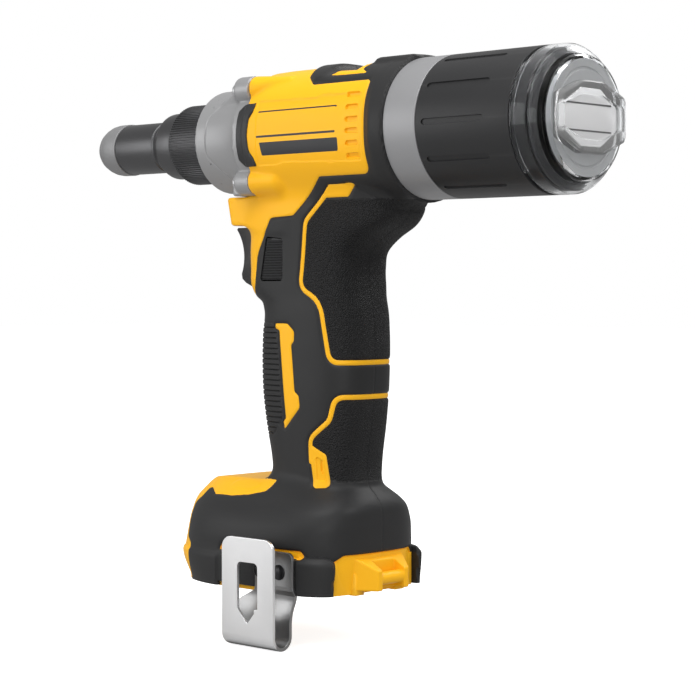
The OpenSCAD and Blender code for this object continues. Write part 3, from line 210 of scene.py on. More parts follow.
def moulded(name, colour, rough, depth=0.00002, scale=2500.0, shade=0.05, spread=0.1, rub=None, amount=0.3,
            **plain):
    """A moulded, cast or painted finish."""
    made, tree, shader = blank(name)
    grain = use(tree, GRAIN, Color=(*colour, 1), Shade=shade, Roughness=rough, Spread=spread,
                Grain_Scale=scale, Grain_Depth=depth)
    tint = grain["Color"]
    if rub:
        tint = use(tree, RUB, Color=tint, Rubbed=(*rub, 1), Amount=amount)["Color"]
    feed(tree, shader, {"Base Color": tint, "Roughness": grain["Roughness"], "Normal": grain["Normal"],
                        **spaced(plain)})
    return made


def metal(name, colour, rough, stretch=(60.0, 2400.0, 2400.0), spread=0.15, depth=0.000005):
    """A ground, turned or brushed metal."""
    made, tree, shader = blank(name)
    tint = use(tree, GRAIN, Color=(*colour, 1), Shade=0.08, Roughness=rough)["Color"]
    lines = use(tree, LINES, Stretch=stretch, Roughness=rough, Spread=spread, Depth=depth)
    feed(tree, shader, {"Base Color": tint, "Roughness": lines["Roughness"], "Normal": lines["Normal"],
                        "Metallic": 1.0})
    return made


def clear_plastic(name, tint, rough, through):
    """A clear or milky plastic."""
    made, tree, shader = blank(name)
    grain = use(tree, GRAIN, Color=(*tint, 1), Shade=0.02, Roughness=rough, Spread=0.04, Grain_Scale=900.0,
                Grain_Depth=0.000002)
    feed(tree, shader, {"Base Color": grain["Color"], "Roughness": grain["Roughness"],
                        "Normal": grain["Normal"], "Transmission Weight": through, "IOR": 1.18})
    return made


def overmould_rubber():
    """Satin rubber; the grip panels, marked by an attribute, are pebbled and darker."""
    made, tree, shader = blank("overmould_rubber")
    grain = use(tree, GRAIN, Color=(0.021, 0.021, 0.0215, 1), Shade=0.12, Roughness=0.46, Spread=0.12,
                Grain_Scale=3200.0, Grain_Depth=0.000012)
    mask = add(tree, "ShaderNodeAttribute", attribute_name="pebbled").outputs["Fac"]
    bumps = use(tree, PEBBLES, Mask=mask, Scale=1450.0, Depth=0.0008, Normal=grain["Normal"])
    dark = maths(tree, "MULTIPLY_ADD", mask, -0.3, 1.0)
    feed(tree, shader, {
        "Base Color": scaled(tree, grain["Color"], dark),
        "Roughness": maths(tree, "MULTIPLY_ADD", mask, 0.14, grain["Roughness"]),
        "Normal": bumps["Normal"],
        "Specular IOR Level": 0.22})
    return made


def hook_steel():
    """Bright sheet on the hook's outer plate, with painted shade darkening the sheet's colour on the leaf and
    inside the bend.
    """
    made = metal("hook_steel", (0.9, 0.9, 0.905), 0.34, (2200.0, 2200.0, 50.0), 0.12, 0.000003)
    tree = made.node_tree
    shader = next(n for n in tree.nodes if n.type == "BSDF_PRINCIPLED")
    tint = shader.inputs["Base Color"].links[0].from_socket
    # Painted shade: inward of the outer plate, on the bend and the leaf, the base colour falls to 0.36 of
    # itself.
    across = add(tree, "ShaderNodeSeparateXYZ", {0: own_place(tree)}).outputs["Y"]
    shade = add(tree, "ShaderNodeMapRange", {"Value": across, "From Min": 0.0482, "From Max": 0.0494,
                                             "To Min": 0.36, "To Max": 1.0}).outputs[0]
    feed(tree, shader, {"Base Color": scaled(tree, tint, shade)})
    return made


YELLOW = moulded("yellow_shell", (0.92, 0.46, 0.012), 0.36, depth=0.000014, scale=2600.0,
                 rub=(0.95, 0.58, 0.1), amount=0.25, Specular_IOR_Level=0.16)
RUBBER = overmould_rubber()
TRIM = moulded("black_trim", (0.02, 0.02, 0.021), 0.42, depth=0.00001, scale=3000.0, shade=0.1,
               Specular_IOR_Level=0.35)
LABEL = moulded("label_black", (0.012, 0.012, 0.014), 0.36, depth=0.000003, scale=2000.0, shade=0.1,
                spread=0.05, Specular_IOR_Level=0.35)
JAR = moulded("barrel_black", (0.019, 0.019, 0.02), 0.42, depth=0.000012, scale=3600.0, shade=0.1,
              rub=(0.06, 0.06, 0.06), Specular_IOR_Level=0.28)
CAST = moulded("cast_grey", (0.31, 0.31, 0.315), 0.4, scale=1900.0, shade=0.06, spread=0.12,
               rub=(0.55, 0.55, 0.56), amount=0.4, Metallic=0.35)
RING = moulded("ring_grey", (0.27, 0.27, 0.277), 0.42, depth=0.000006, scale=3000.0, shade=0.04,
               spread=0.08, Metallic=0.25)
OXIDE = metal("black_oxide", (0.11, 0.11, 0.113), 0.38, (2400.0, 160.0, 160.0), 0.12, 0.000004)
KNURL = metal("ribbed_oxide", (0.09, 0.09, 0.093), 0.42, (300.0, 1800.0, 1800.0), 0.12, 0.000004)
TIP = moulded("nose_steel", (0.25, 0.25, 0.254), 0.46, depth=0.00001, scale=2200.0, Metallic=0.4)
SHEET = hook_steel()
GROUND = metal("ground_steel", (0.62, 0.62, 0.63), 0.28)
HARD = metal("hard_steel", (0.2, 0.2, 0.21), 0.35)
BRASS = metal("turned_brass", (0.72, 0.5, 0.2), 0.3)
COPPER = metal("copper_wire", (0.72, 0.33, 0.15), 0.35, (900.0, 900.0, 900.0))
ZINC = metal("black_zinc", (0.05, 0.05, 0.052), 0.36, (900.0, 900.0, 900.0))
CLEAR = clear_plastic("clear_cap", (0.96, 0.97, 0.98), 0.02, 1.0)
FROST = clear_plastic("cap_window", (0.62, 0.63, 0.64), 0.3, 0.55)
MILKY = clear_plastic("cap_grip", (0.93, 0.935, 0.94), 0.1, 0.8)
LIGHT = clear_plastic("light_lens", (0.95, 0.96, 0.98), 0.1, 0.7)
PLATE = moulded("cap_plate_grey", (0.74, 0.74, 0.745), 0.35, depth=0.00001, scale=2400.0, Metallic=0.3)
PLATE_DARK = moulded("cap_plate_shade", (0.12, 0.12, 0.122), 0.4, depth=0.00001, scale=2400.0, Metallic=0.3)
BOARD = moulded("board_green", (0.02, 0.12, 0.05), 0.35, depth=0.00003, scale=700.0, shade=0.2)
LAMINATE = metal("laminations", (0.3, 0.3, 0.31), 0.4, (3000.0, 60.0, 60.0), 0.1, 0.00002)
WIRE = moulded("wire_sleeve", (0.02, 0.02, 0.022), 0.45, depth=0.00001, scale=1800.0)
NYLON = moulded("black_nylon", (0.028, 0.028, 0.03), 0.4, depth=0.000016, scale=2600.0)

FINISHED = (
    (YELLOW, "left_housing right_housing foot_cover rail_frame"),
    (RUBBER, "left_overmould right_overmould"),
    (TRIM, "left_trim right_trim trigger lock_button"),
    (JAR, "collection_barrel"),
    (CAST, "gear_case motor_plate"),
    (RING, "rear_ring"),
    (OXIDE, "nose_housing"),
    (KNURL, "lock_ring"),
    (TIP, "nosepiece"),
    (SHEET, "belt_hook"),
    (GROUND, "case_screws jaw_case jaw_pusher jaw_spring ball_screw thrust_bearing nut_bearing "
             "planet_carrier planet_pins planet_1 planet_2 planet_3 rotor_shaft front_bearing "
             "rear_bearing guide_tube"),
    (HARD, "jaw_1 jaw_2 jaw_3 ball_nut ring_gear"),
    (BRASS, "hook_inserts terminal_blades"),
    (COPPER, "stator_windings"),
    (ZINC, "housing_screws hook_screw"),
    (CLEAR, "end_cap"),
    (LIGHT, "work_light"),
    (PLATE, "cap_plate"),
    (BOARD, "sensor_board controller"),
    (LAMINATE, "rotor_core stator_core"),
    (WIRE, "cap_seal motor_leads switch_leads"),
    (NYLON, "trigger_switch bearing_holder fan terminal_block"),
)
FINISH = {node: finish for finish, names in FINISHED for node in names.split()}
for name, obj in nodes.items():
    obj.data.materials.clear()
    obj.data.materials.append(FINISH[name])


# Meshes

SHARP, BEVEL_FROM = 35, 32  # degrees past which an edge is drawn sharp, and past which it is rounded
MERGE, MERGE_CLOSE = 2e-6, 1e-6  # points nearer than this, in metres, become one
ARC_STEP, CORNER_SHARE = 12, 0.48  # degrees in a step round a corner, and how much of a side it may take
CURVE_STEPS = 12  # steps from one row of a table to the next


def mesh_of(name, points, faces, unit=MM):
    mesh = bpy.data.meshes.new(name)
    mesh.from_pydata((np.asarray(points, float) * unit).tolist(), [], [list(map(int, f)) for f in faces])
    return mesh


def shown(name, mesh):
    obj = bpy.data.objects.new(name, mesh)
    scene.collection.objects.link(obj)
    return obj


def carried(name, mesh, node, replaces=True, angle=SHARP):
    """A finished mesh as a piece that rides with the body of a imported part."""
    mesh.shade_smooth()
    mesh.set_sharp_from_angle(angle=math.radians(angle))
    obj = shown(name, mesh)
    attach(obj, body_of_node[node])
    if replaces:
        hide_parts(node)
    return obj


def piece(name, points, faces, finish, node, replaces=True, angle=SHARP):
    """A piece from millimetre points."""
    mesh = mesh_of(name, points, faces)
    mesh.materials.append(finish)
    mesh.validate()
    return carried(name, mesh, node, replaces, angle)


@contextmanager
def edited(mesh, source=None):
    """A mesh opened for edits, filled first from another one where that is given."""
    shape = bmesh.new()
    shape.from_mesh(source or mesh)
    yield shape
    shape.to_mesh(mesh)
    shape.free()


def rounded_edges(shape, width):
    limit = math.radians(BEVEL_FROM)
    sharp = [e for e in shape.edges if len(e.link_faces) == 2 and e.calc_face_angle(0) > limit]
    bmesh.ops.bevel(shape, geom=sharp, offset=width, segments=2, affect="EDGES", profile=0.5,
                    clamp_overlap=True)


def softened(node, width):
    """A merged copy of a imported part, with its sharp edges rounded where a width is given."""
    mesh = bpy.data.meshes.new(node + "_piece")
    with edited(mesh, nodes[node].data) as shape:
        bmesh.ops.remove_doubles(shape, verts=shape.verts, dist=MERGE)
        if width:
            bmesh.ops.dissolve_limit(shape, angle_limit=math.radians(1), verts=shape.verts, edges=shape.edges)
            rounded_edges(shape, width * MM)
    mesh.materials.append(FINISH[node])
    return carried(mesh.name, mesh, node, angle=40)


def bevelled(points, faces, width):
    """Points and faces with their sharp edges rounded."""
    mesh = mesh_of("plain", points, faces, 1)
    with edited(mesh) as shape:
        bmesh.ops.recalc_face_normals(shape, faces=shape.faces)
        rounded_edges(shape, width)
    rows = [v.co[:] for v in mesh.vertices], [list(f.vertices) for f in mesh.polygons]
    bpy.data.meshes.remove(mesh)
    return rows


def outward(obj):
    """A closed piece with its doubles merged and its faces turned outwards."""
    with edited(obj.data) as shape:
        bmesh.ops.remove_doubles(shape, verts=shape.verts, dist=MERGE_CLOSE)
        bmesh.ops.recalc_face_normals(shape, faces=shape.faces)
    obj.data.set_sharp_from_angle(angle=math.radians(SHARP))
    return obj


def boxes(*spans):
    """Points and faces of plain boxes given by two corners each."""
    sides = (0, 2, 3, 1), (4, 5, 7, 6), (0, 1, 5, 4), (2, 6, 7, 3), (0, 4, 6, 2), (1, 3, 7, 5)
    points, faces = [], []
    for low, high in spans:
        first = len(points)
        points += [[(low, high)[i >> a & 1][a] for a in range(3)] for i in range(8)]
        faces += [[first + i for i in side] for side in sides]
    return points, faces


def rounded(points):
    """An outline of (u, v) or (u, v, radius) points with its corners rounded."""
    out = []
    count = len(points)
    for i, corner in enumerate(points):
        r = corner[2] if len(corner) > 2 else 0
        b = np.array(corner[:2], float)
        if not r:
            out.append(b)
            continue
        a = np.array(points[i - 1][:2], float) - b
        d = np.array(points[(i + 1) % count][:2], float) - b
        before, after = np.linalg.norm(a), np.linalg.norm(d)
        a, d = a / before, d / after
        half = math.acos(np.clip(a @ d, -1, 1)) / 2
        reach = min(r / math.tan(half), CORNER_SHARE * before, CORNER_SHARE * after)
        r = reach * math.tan(half)
        centre = b + (a + d) / np.linalg.norm(a + d) * r / math.sin(half)
        start, end = b + a * reach - centre, b + d * reach - centre
        swing = math.acos(np.clip(start @ end / r / r, -1, 1))
        steps = max(2, int(math.degrees(swing) / ARC_STEP))
        for t in np.arange(steps + 1) / steps:
            arc = np.sin((1 - t) * swing) * start + np.sin(t * swing) * end
            out.append(centre + arc / max(math.sin(swing), 1e-9))
    return np.array(out)


def bands(rows, count, around=False):
    """Quads between rings of points; the last ring meets the first where around is set."""
    faces = []
    for i in range(rows if around else rows - 1):
        j = (i + 1) % rows
        for k in range(count):
            n = (k + 1) % count
            faces.append([i * count + k, i * count + n, j * count + n, j * count + k])
    return faces


def turned(profile, count=160):
    """Points and faces of a closed (x, r) profile turned about the X axis."""
    ring = np.array(profile, float)
    after = np.roll(ring, -1, 0)
    turns = np.linspace(0, 2 * math.pi, count, endpoint=False)
    points = np.stack([np.repeat(ring[:, 0], count), np.outer(ring[:, 1], np.cos(turns)).ravel(),
                       np.outer(ring[:, 1], np.sin(turns)).ravel()], 1)
    area = (ring[:, 0] * after[:, 1] - after[:, 0] * ring[:, 1]).sum()
    on_axis = ring[:, 1] < 1e-6
    faces = [f for f in bands(len(ring), count, True) if not on_axis[[f[0] // count, f[2] // count]].all()]
    return points, faces if area > 0 else [f[::-1] for f in faces]


# Smooth forms given by a distance, below zero inside. Skins are points p, triangles t and directions n


def smooth_min(a, b, k):
    h = np.clip(0.5 + 0.5 * (b - a) / k, 0, 1)
    return b + (a - b) * h - k * h * (1 - h)


def smooth_max(a, b, k):
    return -smooth_min(-a, -b, k)


def step(v, a, b):
    """0 before a, 1 after b, eased between them."""
    t = np.clip((v - a) / (b - a), 0, 1)
    return t * t * (3 - 2 * t)


def eased(rows):
    """Rows by height, made dense with a curve through them."""
    t = np.array(rows, float)
    t = t[np.argsort(t[:, 0])]
    z, v = t[:, 0], t[:, 1:]
    h = np.diff(z)[:, None]
    d = np.diff(v, axis=0) / h
    m = np.vstack([d[:1], (d[:-1] * h[1:] + d[1:] * h[:-1]) / (h[1:] + h[:-1]), d[-1:]])
    out = []
    for i in range(len(z) - 1):
        for s in np.linspace(0, 1, CURVE_STEPS, endpoint=False):
            a = (1 + 2 * s) * (1 - s) ** 2 * v[i] + s * (1 - s) ** 2 * h[i] * m[i]
            b = s * s * (3 - 2 * s) * v[i + 1] + s * s * (s - 1) * h[i] * m[i + 1]
            out.append([z[i] + s * h[i, 0], *(a + b)])
    return np.array(out + [t[-1]])


def at(z, rows):
    return [np.interp(z, rows[:, 0], rows[:, i]) for i in range(1, rows.shape[1])]


def section(u, v, a, b, n):
    """Distance from a rounded-box section with half sizes a and b."""
    r = np.maximum((np.abs(u / a) ** n + np.abs(v / b) ** n) ** (1 / n), 1e-6)
    return np.hypot(u, v) * (1 - 1 / r)


def capsule(x, y, z, start, end, r0, r1):
    """Distance from a round bar whose radius goes from r0 to r1."""
    a, b = np.array(start, float), np.array(end, float) - np.array(start, float)
    t = np.clip(((x - a[0]) * b[0] + (y - a[1]) * b[1] + (z - a[2]) * b[2]) / (b @ b), 0, 1)
    gap = (x - a[0] - t * b[0]) ** 2 + (y - a[1] - t * b[1]) ** 2 + (z - a[2] - t * b[2]) ** 2
    return np.sqrt(gap) - (r0 + (r1 - r0) * t)


def slab(u, v, u0, u1, v0, v1, r=0.0):
    """Distance from a rectangle with corners of radius r."""
    a = np.abs(u - (u0 + u1) / 2) - abs(u1 - u0) / 2 + r
    b = np.abs(v - (v0 + v1) / 2) - abs(v1 - v0) / 2 + r
    return np.hypot(np.maximum(a, 0), np.maximum(b, 0)) + np.minimum(np.maximum(a, b), 0) - r


def gap_to(u, v, start, end):
    """Squared distance from a straight stretch."""
    (ax, ay), (bx, by) = start, end
    ex, ey = bx - ax, by - ay
    t = np.clip(((u - ax) * ex + (v - ay) * ey) / max(ex * ex + ey * ey, 1e-9), 0, 1)
    return (u - ax - t * ex) ** 2 + (v - ay - t * ey) ** 2


def outline(u, v, points):
    """Distance from a closed outline."""
    best = np.full(u.shape, 1e9)
    odd = np.zeros(u.shape, bool)
    for (ax, ay), (bx, by) in zip(points, np.roll(points, -1, 0)):
        best = np.minimum(best, gap_to(u, v, (ax, ay), (bx, by)))
        side = (ay > v) != (by > v)
        rise = 1e-9 if by == ay else by - ay
        odd ^= side & (u < ax + (v - ay) * (bx - ax) / rise)
    return np.sqrt(best) * np.where(odd, -1, 1)


def stroke(u, v, points, half):
    """Distance from a band along an open path."""
    gaps = [gap_to(u, v, a, b) for a, b in zip(points[:-1], points[1:])]
    return np.sqrt(np.min(gaps, 0)) - half


def slope(field, p, e=0.02):
    g = np.empty_like(p)
    for i in range(3):
        shift = np.zeros(3)
        shift[i] = e
        g[:, i] = (field(*(p + shift).T) - field(*(p - shift).T)) / (2 * e)
    return g


def facing(field, p):
    """Outward directions on a form."""
    g = slope(field, p)
    return g / np.maximum(np.linalg.norm(g, axis=1), 1e-6)[:, None]


def settle(field, p, times):
    """Points drawn onto the surface of a form."""
    for _ in range(times):
        g = slope(field, p)
        move = field(*p.T) / np.maximum((g * g).sum(1), 1e-3)
        p = p - np.clip(move, -2, 2)[:, None] * g
    return p


def crossed_cells(d):
    """Cells of a grid of distances that the surface crosses, each with the mean place of its crossings."""
    inside = d < 0
    size = np.array(d.shape) - 1
    filled = np.zeros(size, int)
    corners = [np.array(c) for c in np.ndindex(2, 2, 2)]
    for c in corners:
        filled += inside[c[0]:c[0] + size[0], c[1]:c[1] + size[1], c[2]:c[2] + size[2]]
    cells = np.argwhere((filled > 0) & (filled < 8))
    total, met = np.zeros((len(cells), 3)), np.zeros(len(cells))
    for a in corners:
        for k in np.flatnonzero(a == 0):
            b = a.copy()
            b[k] = 1
            da, db = d[tuple((cells + a).T)], d[tuple((cells + b).T)]
            hit = (da < 0) != (db < 0)
            t = np.where(hit, da / np.where(hit, da - db, 1), 0)
            total += (cells + a + t[:, None] * (b - a)) * hit[:, None]
            met += hit
    return cells, total / met[:, None]


def cell_quads(d, cells):
    """One quad, between four crossed cells, for each grid edge that the surface crosses."""
    inside = d < 0
    size = np.array(d.shape) - 1
    index = np.full(size, -1)
    index[tuple(cells.T)] = np.arange(len(cells))
    quads = []
    for k in range(3):
        u, v = (k + 1) % 3, (k + 2) % 3
        first = np.take(inside, range(size[k]), k)
        hit = np.argwhere(first != np.take(inside, range(1, size[k] + 1), k))
        hit = hit[(hit[:, u] > 0) & (hit[:, v] > 0) & (hit[:, u] < size[u]) & (hit[:, v] < size[v])]
        eu, ev = np.eye(3, dtype=int)[u], np.eye(3, dtype=int)[v]
        ring = np.stack([index[tuple((hit - o).T)] for o in (eu + ev, ev, 0 * eu, eu)], 1)
        quads.append(np.where(inside[tuple(hit.T)][:, None], ring, ring[:, ::-1]))
    return np.vstack(quads)


def skin(field, low, high, pitch, relax=4):
    """Triangles over a form: one point in each grid cell that its surface crosses, then evened out."""
    axes = [np.arange(a, b + pitch, pitch) for a, b in zip(low, high)]
    d = field(*np.meshgrid(*axes, indexing="ij", sparse=True))
    cells, places = crossed_cells(d)
    p = places * pitch + np.array(low)
    quads = cell_quads(d, cells)
    for _ in range(relax):
        total, met = np.zeros_like(p), np.zeros(len(p))
        for i in range(4):
            a, b = quads[:, i], quads[:, (i + 1) % 4]
            np.add.at(total, a, p[b])
            np.add.at(total, b, p[a])
            np.add.at(met, a, 1)
            np.add.at(met, b, 1)
        p = settle(field, 0.5 * p + 0.5 * total / met[:, None], 1)
    p = settle(field, p, 2)
    a, b, c, e = quads.T
    short = ((p[a] - p[c]) ** 2).sum(1) < ((p[b] - p[e]) ** 2).sum(1)
    one = np.where(short[:, None], np.stack([a, b, c], 1), np.stack([a, b, e], 1))
    two = np.where(short[:, None], np.stack([a, c, e], 1), np.stack([b, c, e], 1))
    return p, np.vstack([one, two])


def snapped(p, f, line, field, snap):
    """Points close to a line moved onto it, along the form."""
    near = np.flatnonzero(np.abs(f) < snap)
    if not len(near):
        return p, f
    g = slope(lambda x, y, z: line(np.stack([x, y, z], 1)), p[near])
    steep = (g * g).sum(1)
    moved = p[near] - np.where(steep > 0.2, f[near] / np.maximum(steep, 0.2), 0)[:, None] * g
    p = p.copy()
    p[near] = settle(field, moved, 1)
    f[near] = 0
    return p, f


def split(p, t, line, field, snap=0.2):
    """Triangles cut where line(p) is zero; points close by are moved onto it."""
    p, f = snapped(p, line(p), line, field, snap)
    s = np.sign(f).astype(int)
    ts = s[t]
    crossing = (ts.min(1) < 0) & (ts.max(1) > 0)
    keep, work = t[~crossing], t[crossing]
    ws = s[work]
    touch = (ws == 0).any(1)
    lone = np.where(ws.sum(1) > 0, -1, 1)
    first = np.where(touch, np.argmax(ws == 0, 1), np.argmax(ws == lone[:, None], 1))
    work = work[np.arange(len(work))[:, None], (first[:, None] + np.arange(3)) % 3]
    pairs = np.vstack([work[touch][:, [1, 2]], work[~touch][:, [0, 1]], work[~touch][:, [0, 2]]])
    edge, place = np.unique(np.sort(pairs, 1), axis=0, return_inverse=True)
    place = place.reshape(-1) + len(p)
    w = (f[edge[:, 0]] / (f[edge[:, 0]] - f[edge[:, 1]]))[:, None]
    p = np.vstack([p, settle(field, p[edge[:, 0]] * (1 - w) + p[edge[:, 1]] * w, 1)])
    halved, cornered = touch.sum(), (~touch).sum()
    a, b, c = work[touch].T
    x = place[:halved]
    out = [keep, np.stack([a, b, x], 1), np.stack([a, x, c], 1)]
    a, b, c = work[~touch].T
    x, y = place[halved:halved + cornered], place[halved + cornered:]
    out += [np.stack([a, x, y], 1), np.stack([x, b, c], 1), np.stack([x, c, y], 1)]
    return p, np.vstack(out)


def thickened(p, t, n, depth):
    """A skin given a wall inwards, with its open edges closed."""
    edges = np.vstack([t[:, [0, 1]], t[:, [1, 2]], t[:, [2, 0]]])
    _, place, count = np.unique(np.sort(edges, 1), axis=0, return_inverse=True, return_counts=True)
    rim = edges[count[place.reshape(-1)] == 1]
    k = len(p)
    faces = np.vstack([t, t[:, ::-1] + k])
    walls = np.stack([rim[:, 1], rim[:, 0], rim[:, 0] + k, rim[:, 1] + k], 1)
    return np.vstack([p, p - n * depth]), [*faces.tolist(), *walls.tolist()]


def beyond(line, by):
    """The same line moved outwards by a distance."""
    return lambda q: line(q) - by


def on_side(points):
    """The line of an outline seen from the side."""
    return lambda q: outline(q[:, 0], q[:, 2], points)


# Form of the housing. Rows: height, then front, rear, half width and squareness

GRIP_TOP, GRIP_END = -20, -166
GRIP = eased([
    (-20, -122.2, -206, 20, 3.2), (-36, -119.2, -208.5, 20.5, 3.4), (-41.95, -118.4, -202.6, 20.2, 3.8),
    (-47.1, -118.4, -192.8, 20, 4), (-53, -118.4, -185.2, 19.7, 4.1), (-61, -118.6, -183.2, 19.5, 4.1),
    (-70.4, -119.2, -183.8, 19.5, 3.9), (-73.6, -121, -184.4, 19.5, 3.6), (-76.6, -125, -185.2, 19.6, 3.3),
    (-80, -126.4, -186, 19.8, 3.2), (-92, -125.6, -187, 20, 3.2), (-106, -125.2, -187, 20, 3.2),
    (-120, -126, -186.2, 20, 3.2), (-134, -128.2, -184.7, 19.6, 3.2), (-148, -131.5, -182.5, 19.2, 3.2),
    (-166, -133.5, -181.2, 19, 3.2)])
FOOT_SOLE = -210
FOOT = eased([
    (-156, -92.5, -181.3, 15, 3), (-161, -90.5, -182, 20.5, 3), (-164.7, -88, -186.7, 25.2, 3.3),
    (-169.7, -84.6, -190.7, 31.2, 3.4), (-176.6, -83.4, -191.7, 36, 3.3), (-184.9, -82.2, -191.7, 38.2, 3.2),
    (-191.4, -80.6, -191.7, 38.4, 3.2), (-195, -79.7, -191.7, 38.6, 3.2), (-207, -86, -190.3, 38.6, 3.2)])
FOOT_FRONT_SQUARE = 2.8
POST_SQUARE = 4.9
POST_INNER, POST_FRONT, POST_TOP = 28.6, -171.5, -191.6
# The top of the foot: places along X, its height there, and what makes a slope's height a distance
ROOF_X = [-130, -110, -103, -95, -88.5, -82, -79]
ROOF_Z = [-159.7, -160.1, -160.5, -161.5, -163.9, -168.5, -172]
ROOF_SLOPE = 0.8

SEAM, BARREL_END = -131.4, -220
BARREL_SIDE, BARREL_UP, BARREL_DOWN, BARREL_REAR = 29.5, 31.0, 30.2, 32.4
# Distances behind the nose: where the barrel starts narrower, where it widens and where its top dips
NARROW, FLARE = (131, 146), (207, 214)
NARROW_BY, BARREL_SQUARE, NARROW_ROUNDER, FLARE_ROUNDER = 0.3, 2.5, 0.35, 0.5
DIP, DIP_Z = [168, 176, 193, 196], [40, 27.7, 26.9, 40]
HUMP, HUMP_HALF = (-197.6, -240, 10, 32.2, 3.0), 14
# Screw bosses: start, end, radius at each, softness of the join
BOSSES = (
    ((-128, 20.5, 22), (-153, 19, 24.4), 6.3, 2.5, 1.2),
    ((-128, 20.5, -21), (-146, 20.5, -21), 6.5, 6.0, 1.0),
)

CHIN_LOW, CHIN_TOP, CHIN_REAR, CHIN_HALF, CHIN_CORNER = -41, -27.5, -150, 17, 4
CHIN_FRONT, CHIN_LEAN, CHIN_RISE = -108.2, 2.6, 12


def grip(x, y, z):
    front, rear, half, square = at(z, GRIP)
    d = section(x - (front + rear) / 2, y, (front - rear) / 2, half, square)
    return smooth_max(smooth_max(d, z - GRIP_TOP, 2), GRIP_END - z, 2)


def foot(x, y, z):
    front, rear, half, square = at(z, FOOT)
    u, reach = x - (front + rear) / 2, (front - rear) / 2
    d = section(u, y, reach, half, np.where(u > 0, FOOT_FRONT_SQUARE, square))
    post = smooth_max(section(u, y, reach, half, POST_SQUARE), POST_INNER - np.abs(y), 0.8)
    post = smooth_max(smooth_max(post, x - POST_FRONT, 1.0), z - POST_TOP, 2.5)
    d = smooth_min(d, post, 0.6)
    d = smooth_max(d, ROOF_SLOPE * (z - np.interp(x, ROOF_X, ROOF_Z)), 2.0)
    return smooth_max(d, FOOT_SOLE - z, 0.6)


def barrel(x, y, z):
    side = np.abs(y)
    flare, narrow = step(-x, *FLARE), 1 - step(-x, *NARROW)
    tall = np.where(z > 0, BARREL_UP, BARREL_DOWN)
    wide = BARREL_SIDE - NARROW_BY * narrow + (BARREL_REAR - BARREL_SIDE) * flare
    square = BARREL_SQUARE - NARROW_ROUNDER * narrow - FLARE_ROUNDER * flare
    d = section(y, z, wide, tall + (BARREL_REAR - tall) * flare, square)
    d = smooth_max(d, z - np.interp(-x, DIP, DIP_Z), 1.5)
    d = smooth_min(d, smooth_max(slab(x, z, *HUMP), side - HUMP_HALF, 5), 1.2)
    for start, end, r0, r1, soft in BOSSES:
        d = smooth_min(d, capsule(x, side, z, start, end, r0, r1), soft)
    return smooth_max(smooth_max(d, x - SEAM, 1.0), BARREL_END - x, 1.2)


def chin(x, y, z):
    """The block above the trigger."""
    front = CHIN_FRONT + CHIN_LEAN * np.clip((z - CHIN_LOW) / CHIN_RISE, 0, 1)
    d = slab(x, y, front, CHIN_REAR, -CHIN_HALF, CHIN_HALF, CHIN_CORNER)
    return smooth_max(smooth_max(d, z - CHIN_TOP, 1.5), CHIN_LOW - z, 1.5)


def shell(x, y, z):
    d = smooth_min(barrel(x, y, z), chin(x, y, z), 2.0)
    d = smooth_min(d, grip(x, y, z), 7.0)
    return smooth_min(d, foot(x, y, z), 6.0)


# Outlines on the side of the housing, in X and Z

UPPER = rounded([(-60, 60), (-206.9, 60), (-206.9, -20.4, 4), (-175.4, -20.4, 2.5), (-154.6, -37.2, 3),
                 (-139.8, -37.9, 2.5), (-129.5, -55, 9), (-127.4, -68, 5), (-124.6, -75.4, 3), (-60, -76)])
TONGUE = rounded([(-165.6, 25.4, 2.5), (-171.5, 21.3, 2.5), (-215, 21.3), (-215, 45), (-158, 45),
                  (-158, 30.6), (-163, 29, 3)])
STRIPE = rounded([(-178.2, 25.2, 0.3), (-180.6, 26.3, 0.5), (-181, 28), (-180, 45), (-195.6, 45),
                  (-196.2, 27, 0.6), (-199.4, 25.8, 0.6), (-201.4, 24.9, 0.3)])
PAD = rounded([(-178.9, -24.1, 1), (-194.4, -24, 0.6), (-188.9, -29.7, 0.8), (-174.4, -29.8, 0.6)])
LINE_1 = rounded([(-178, -26.4), (-162.3, -40.2, 6), (-158.2, -70.4, 6), (-170.6, -76.6, 14),
                  (-175.9, -104.4, 5), (-240, -104.2)])
LINE_2 = rounded([(-240, -119.7), (-178.4, -120.1, 5), (-175.3, -131, 6), (-164.4, -139.4, 6),
                  (-164.6, -150)])
LINE_HALF = 1.15
BADGE = rounded([(-163, -141.2, 1), (-173.2, -146.4, 1.4), (-175.2, -161.2, 2), (-166.6, -161.8, 2.5)])
BADGE_IN = rounded([(-167.4, -147, 0.8), (-172, -149, 0.8), (-173.4, -158.6, 1), (-168.4, -158.8, 1)])
BADGE_SLOT = rounded([(-169.4, -148.6, 0.3), (-170.9, -149.3, 0.3), (-171.5, -155.6, 0.3),
                      (-170.2, -154.6, 0.3)])
STRIP = rounded([(-142.1, -86.9, 0.8), (-150.4, -86.9, 2.5), (-154.8, -90.5, 2), (-154.6, -95, 1),
                 (-152.9, -96.8, 0.8), (-155, -118.2, 0.8), (-157.6, -120, 1), (-158.3, -125.4, 2),
                 (-148.2, -135.8, 0.6), (-147.5, -132.4, 0.5), (-149.2, -130.6, 0.6), (-145, -90.2, 0.6),
                 (-142.1, -88.9, 0.4)])
LOCK = rounded([(-137.2, -47, 1), (-147.4, -48, 1), (-146.8, -66.8, 1), (-132.6, -66.8, 1)])
PANEL = rounded([(-139, 15.6, 0.5), (-177.4, 15, 0.5), (-179.8, 16, 0.5), (-204.6, 15.6, 0.8),
                 (-204.6, -14.9, 0.8), (-155.4, -13.4, 0.5), (-152, -14.4, 0.5), (-139, -14.4, 0.5)])
MARK = rounded([(-141.4, -3.7, 0.4), (-191, -3.7, 0.4), (-191, -9.8, 0.4), (-142.8, -9.8, 0.4)])
RULES = ((-140.2, -190.2, 10, 10.8), (-139.6, -189.6, -1.5, -0.8))
RIBBED = rounded([(-100, -86), (-141, -86, 1), (-144.2, -91, 1), (-148, -130, 3), (-140, -139, 6),
                  (-100, -141)])
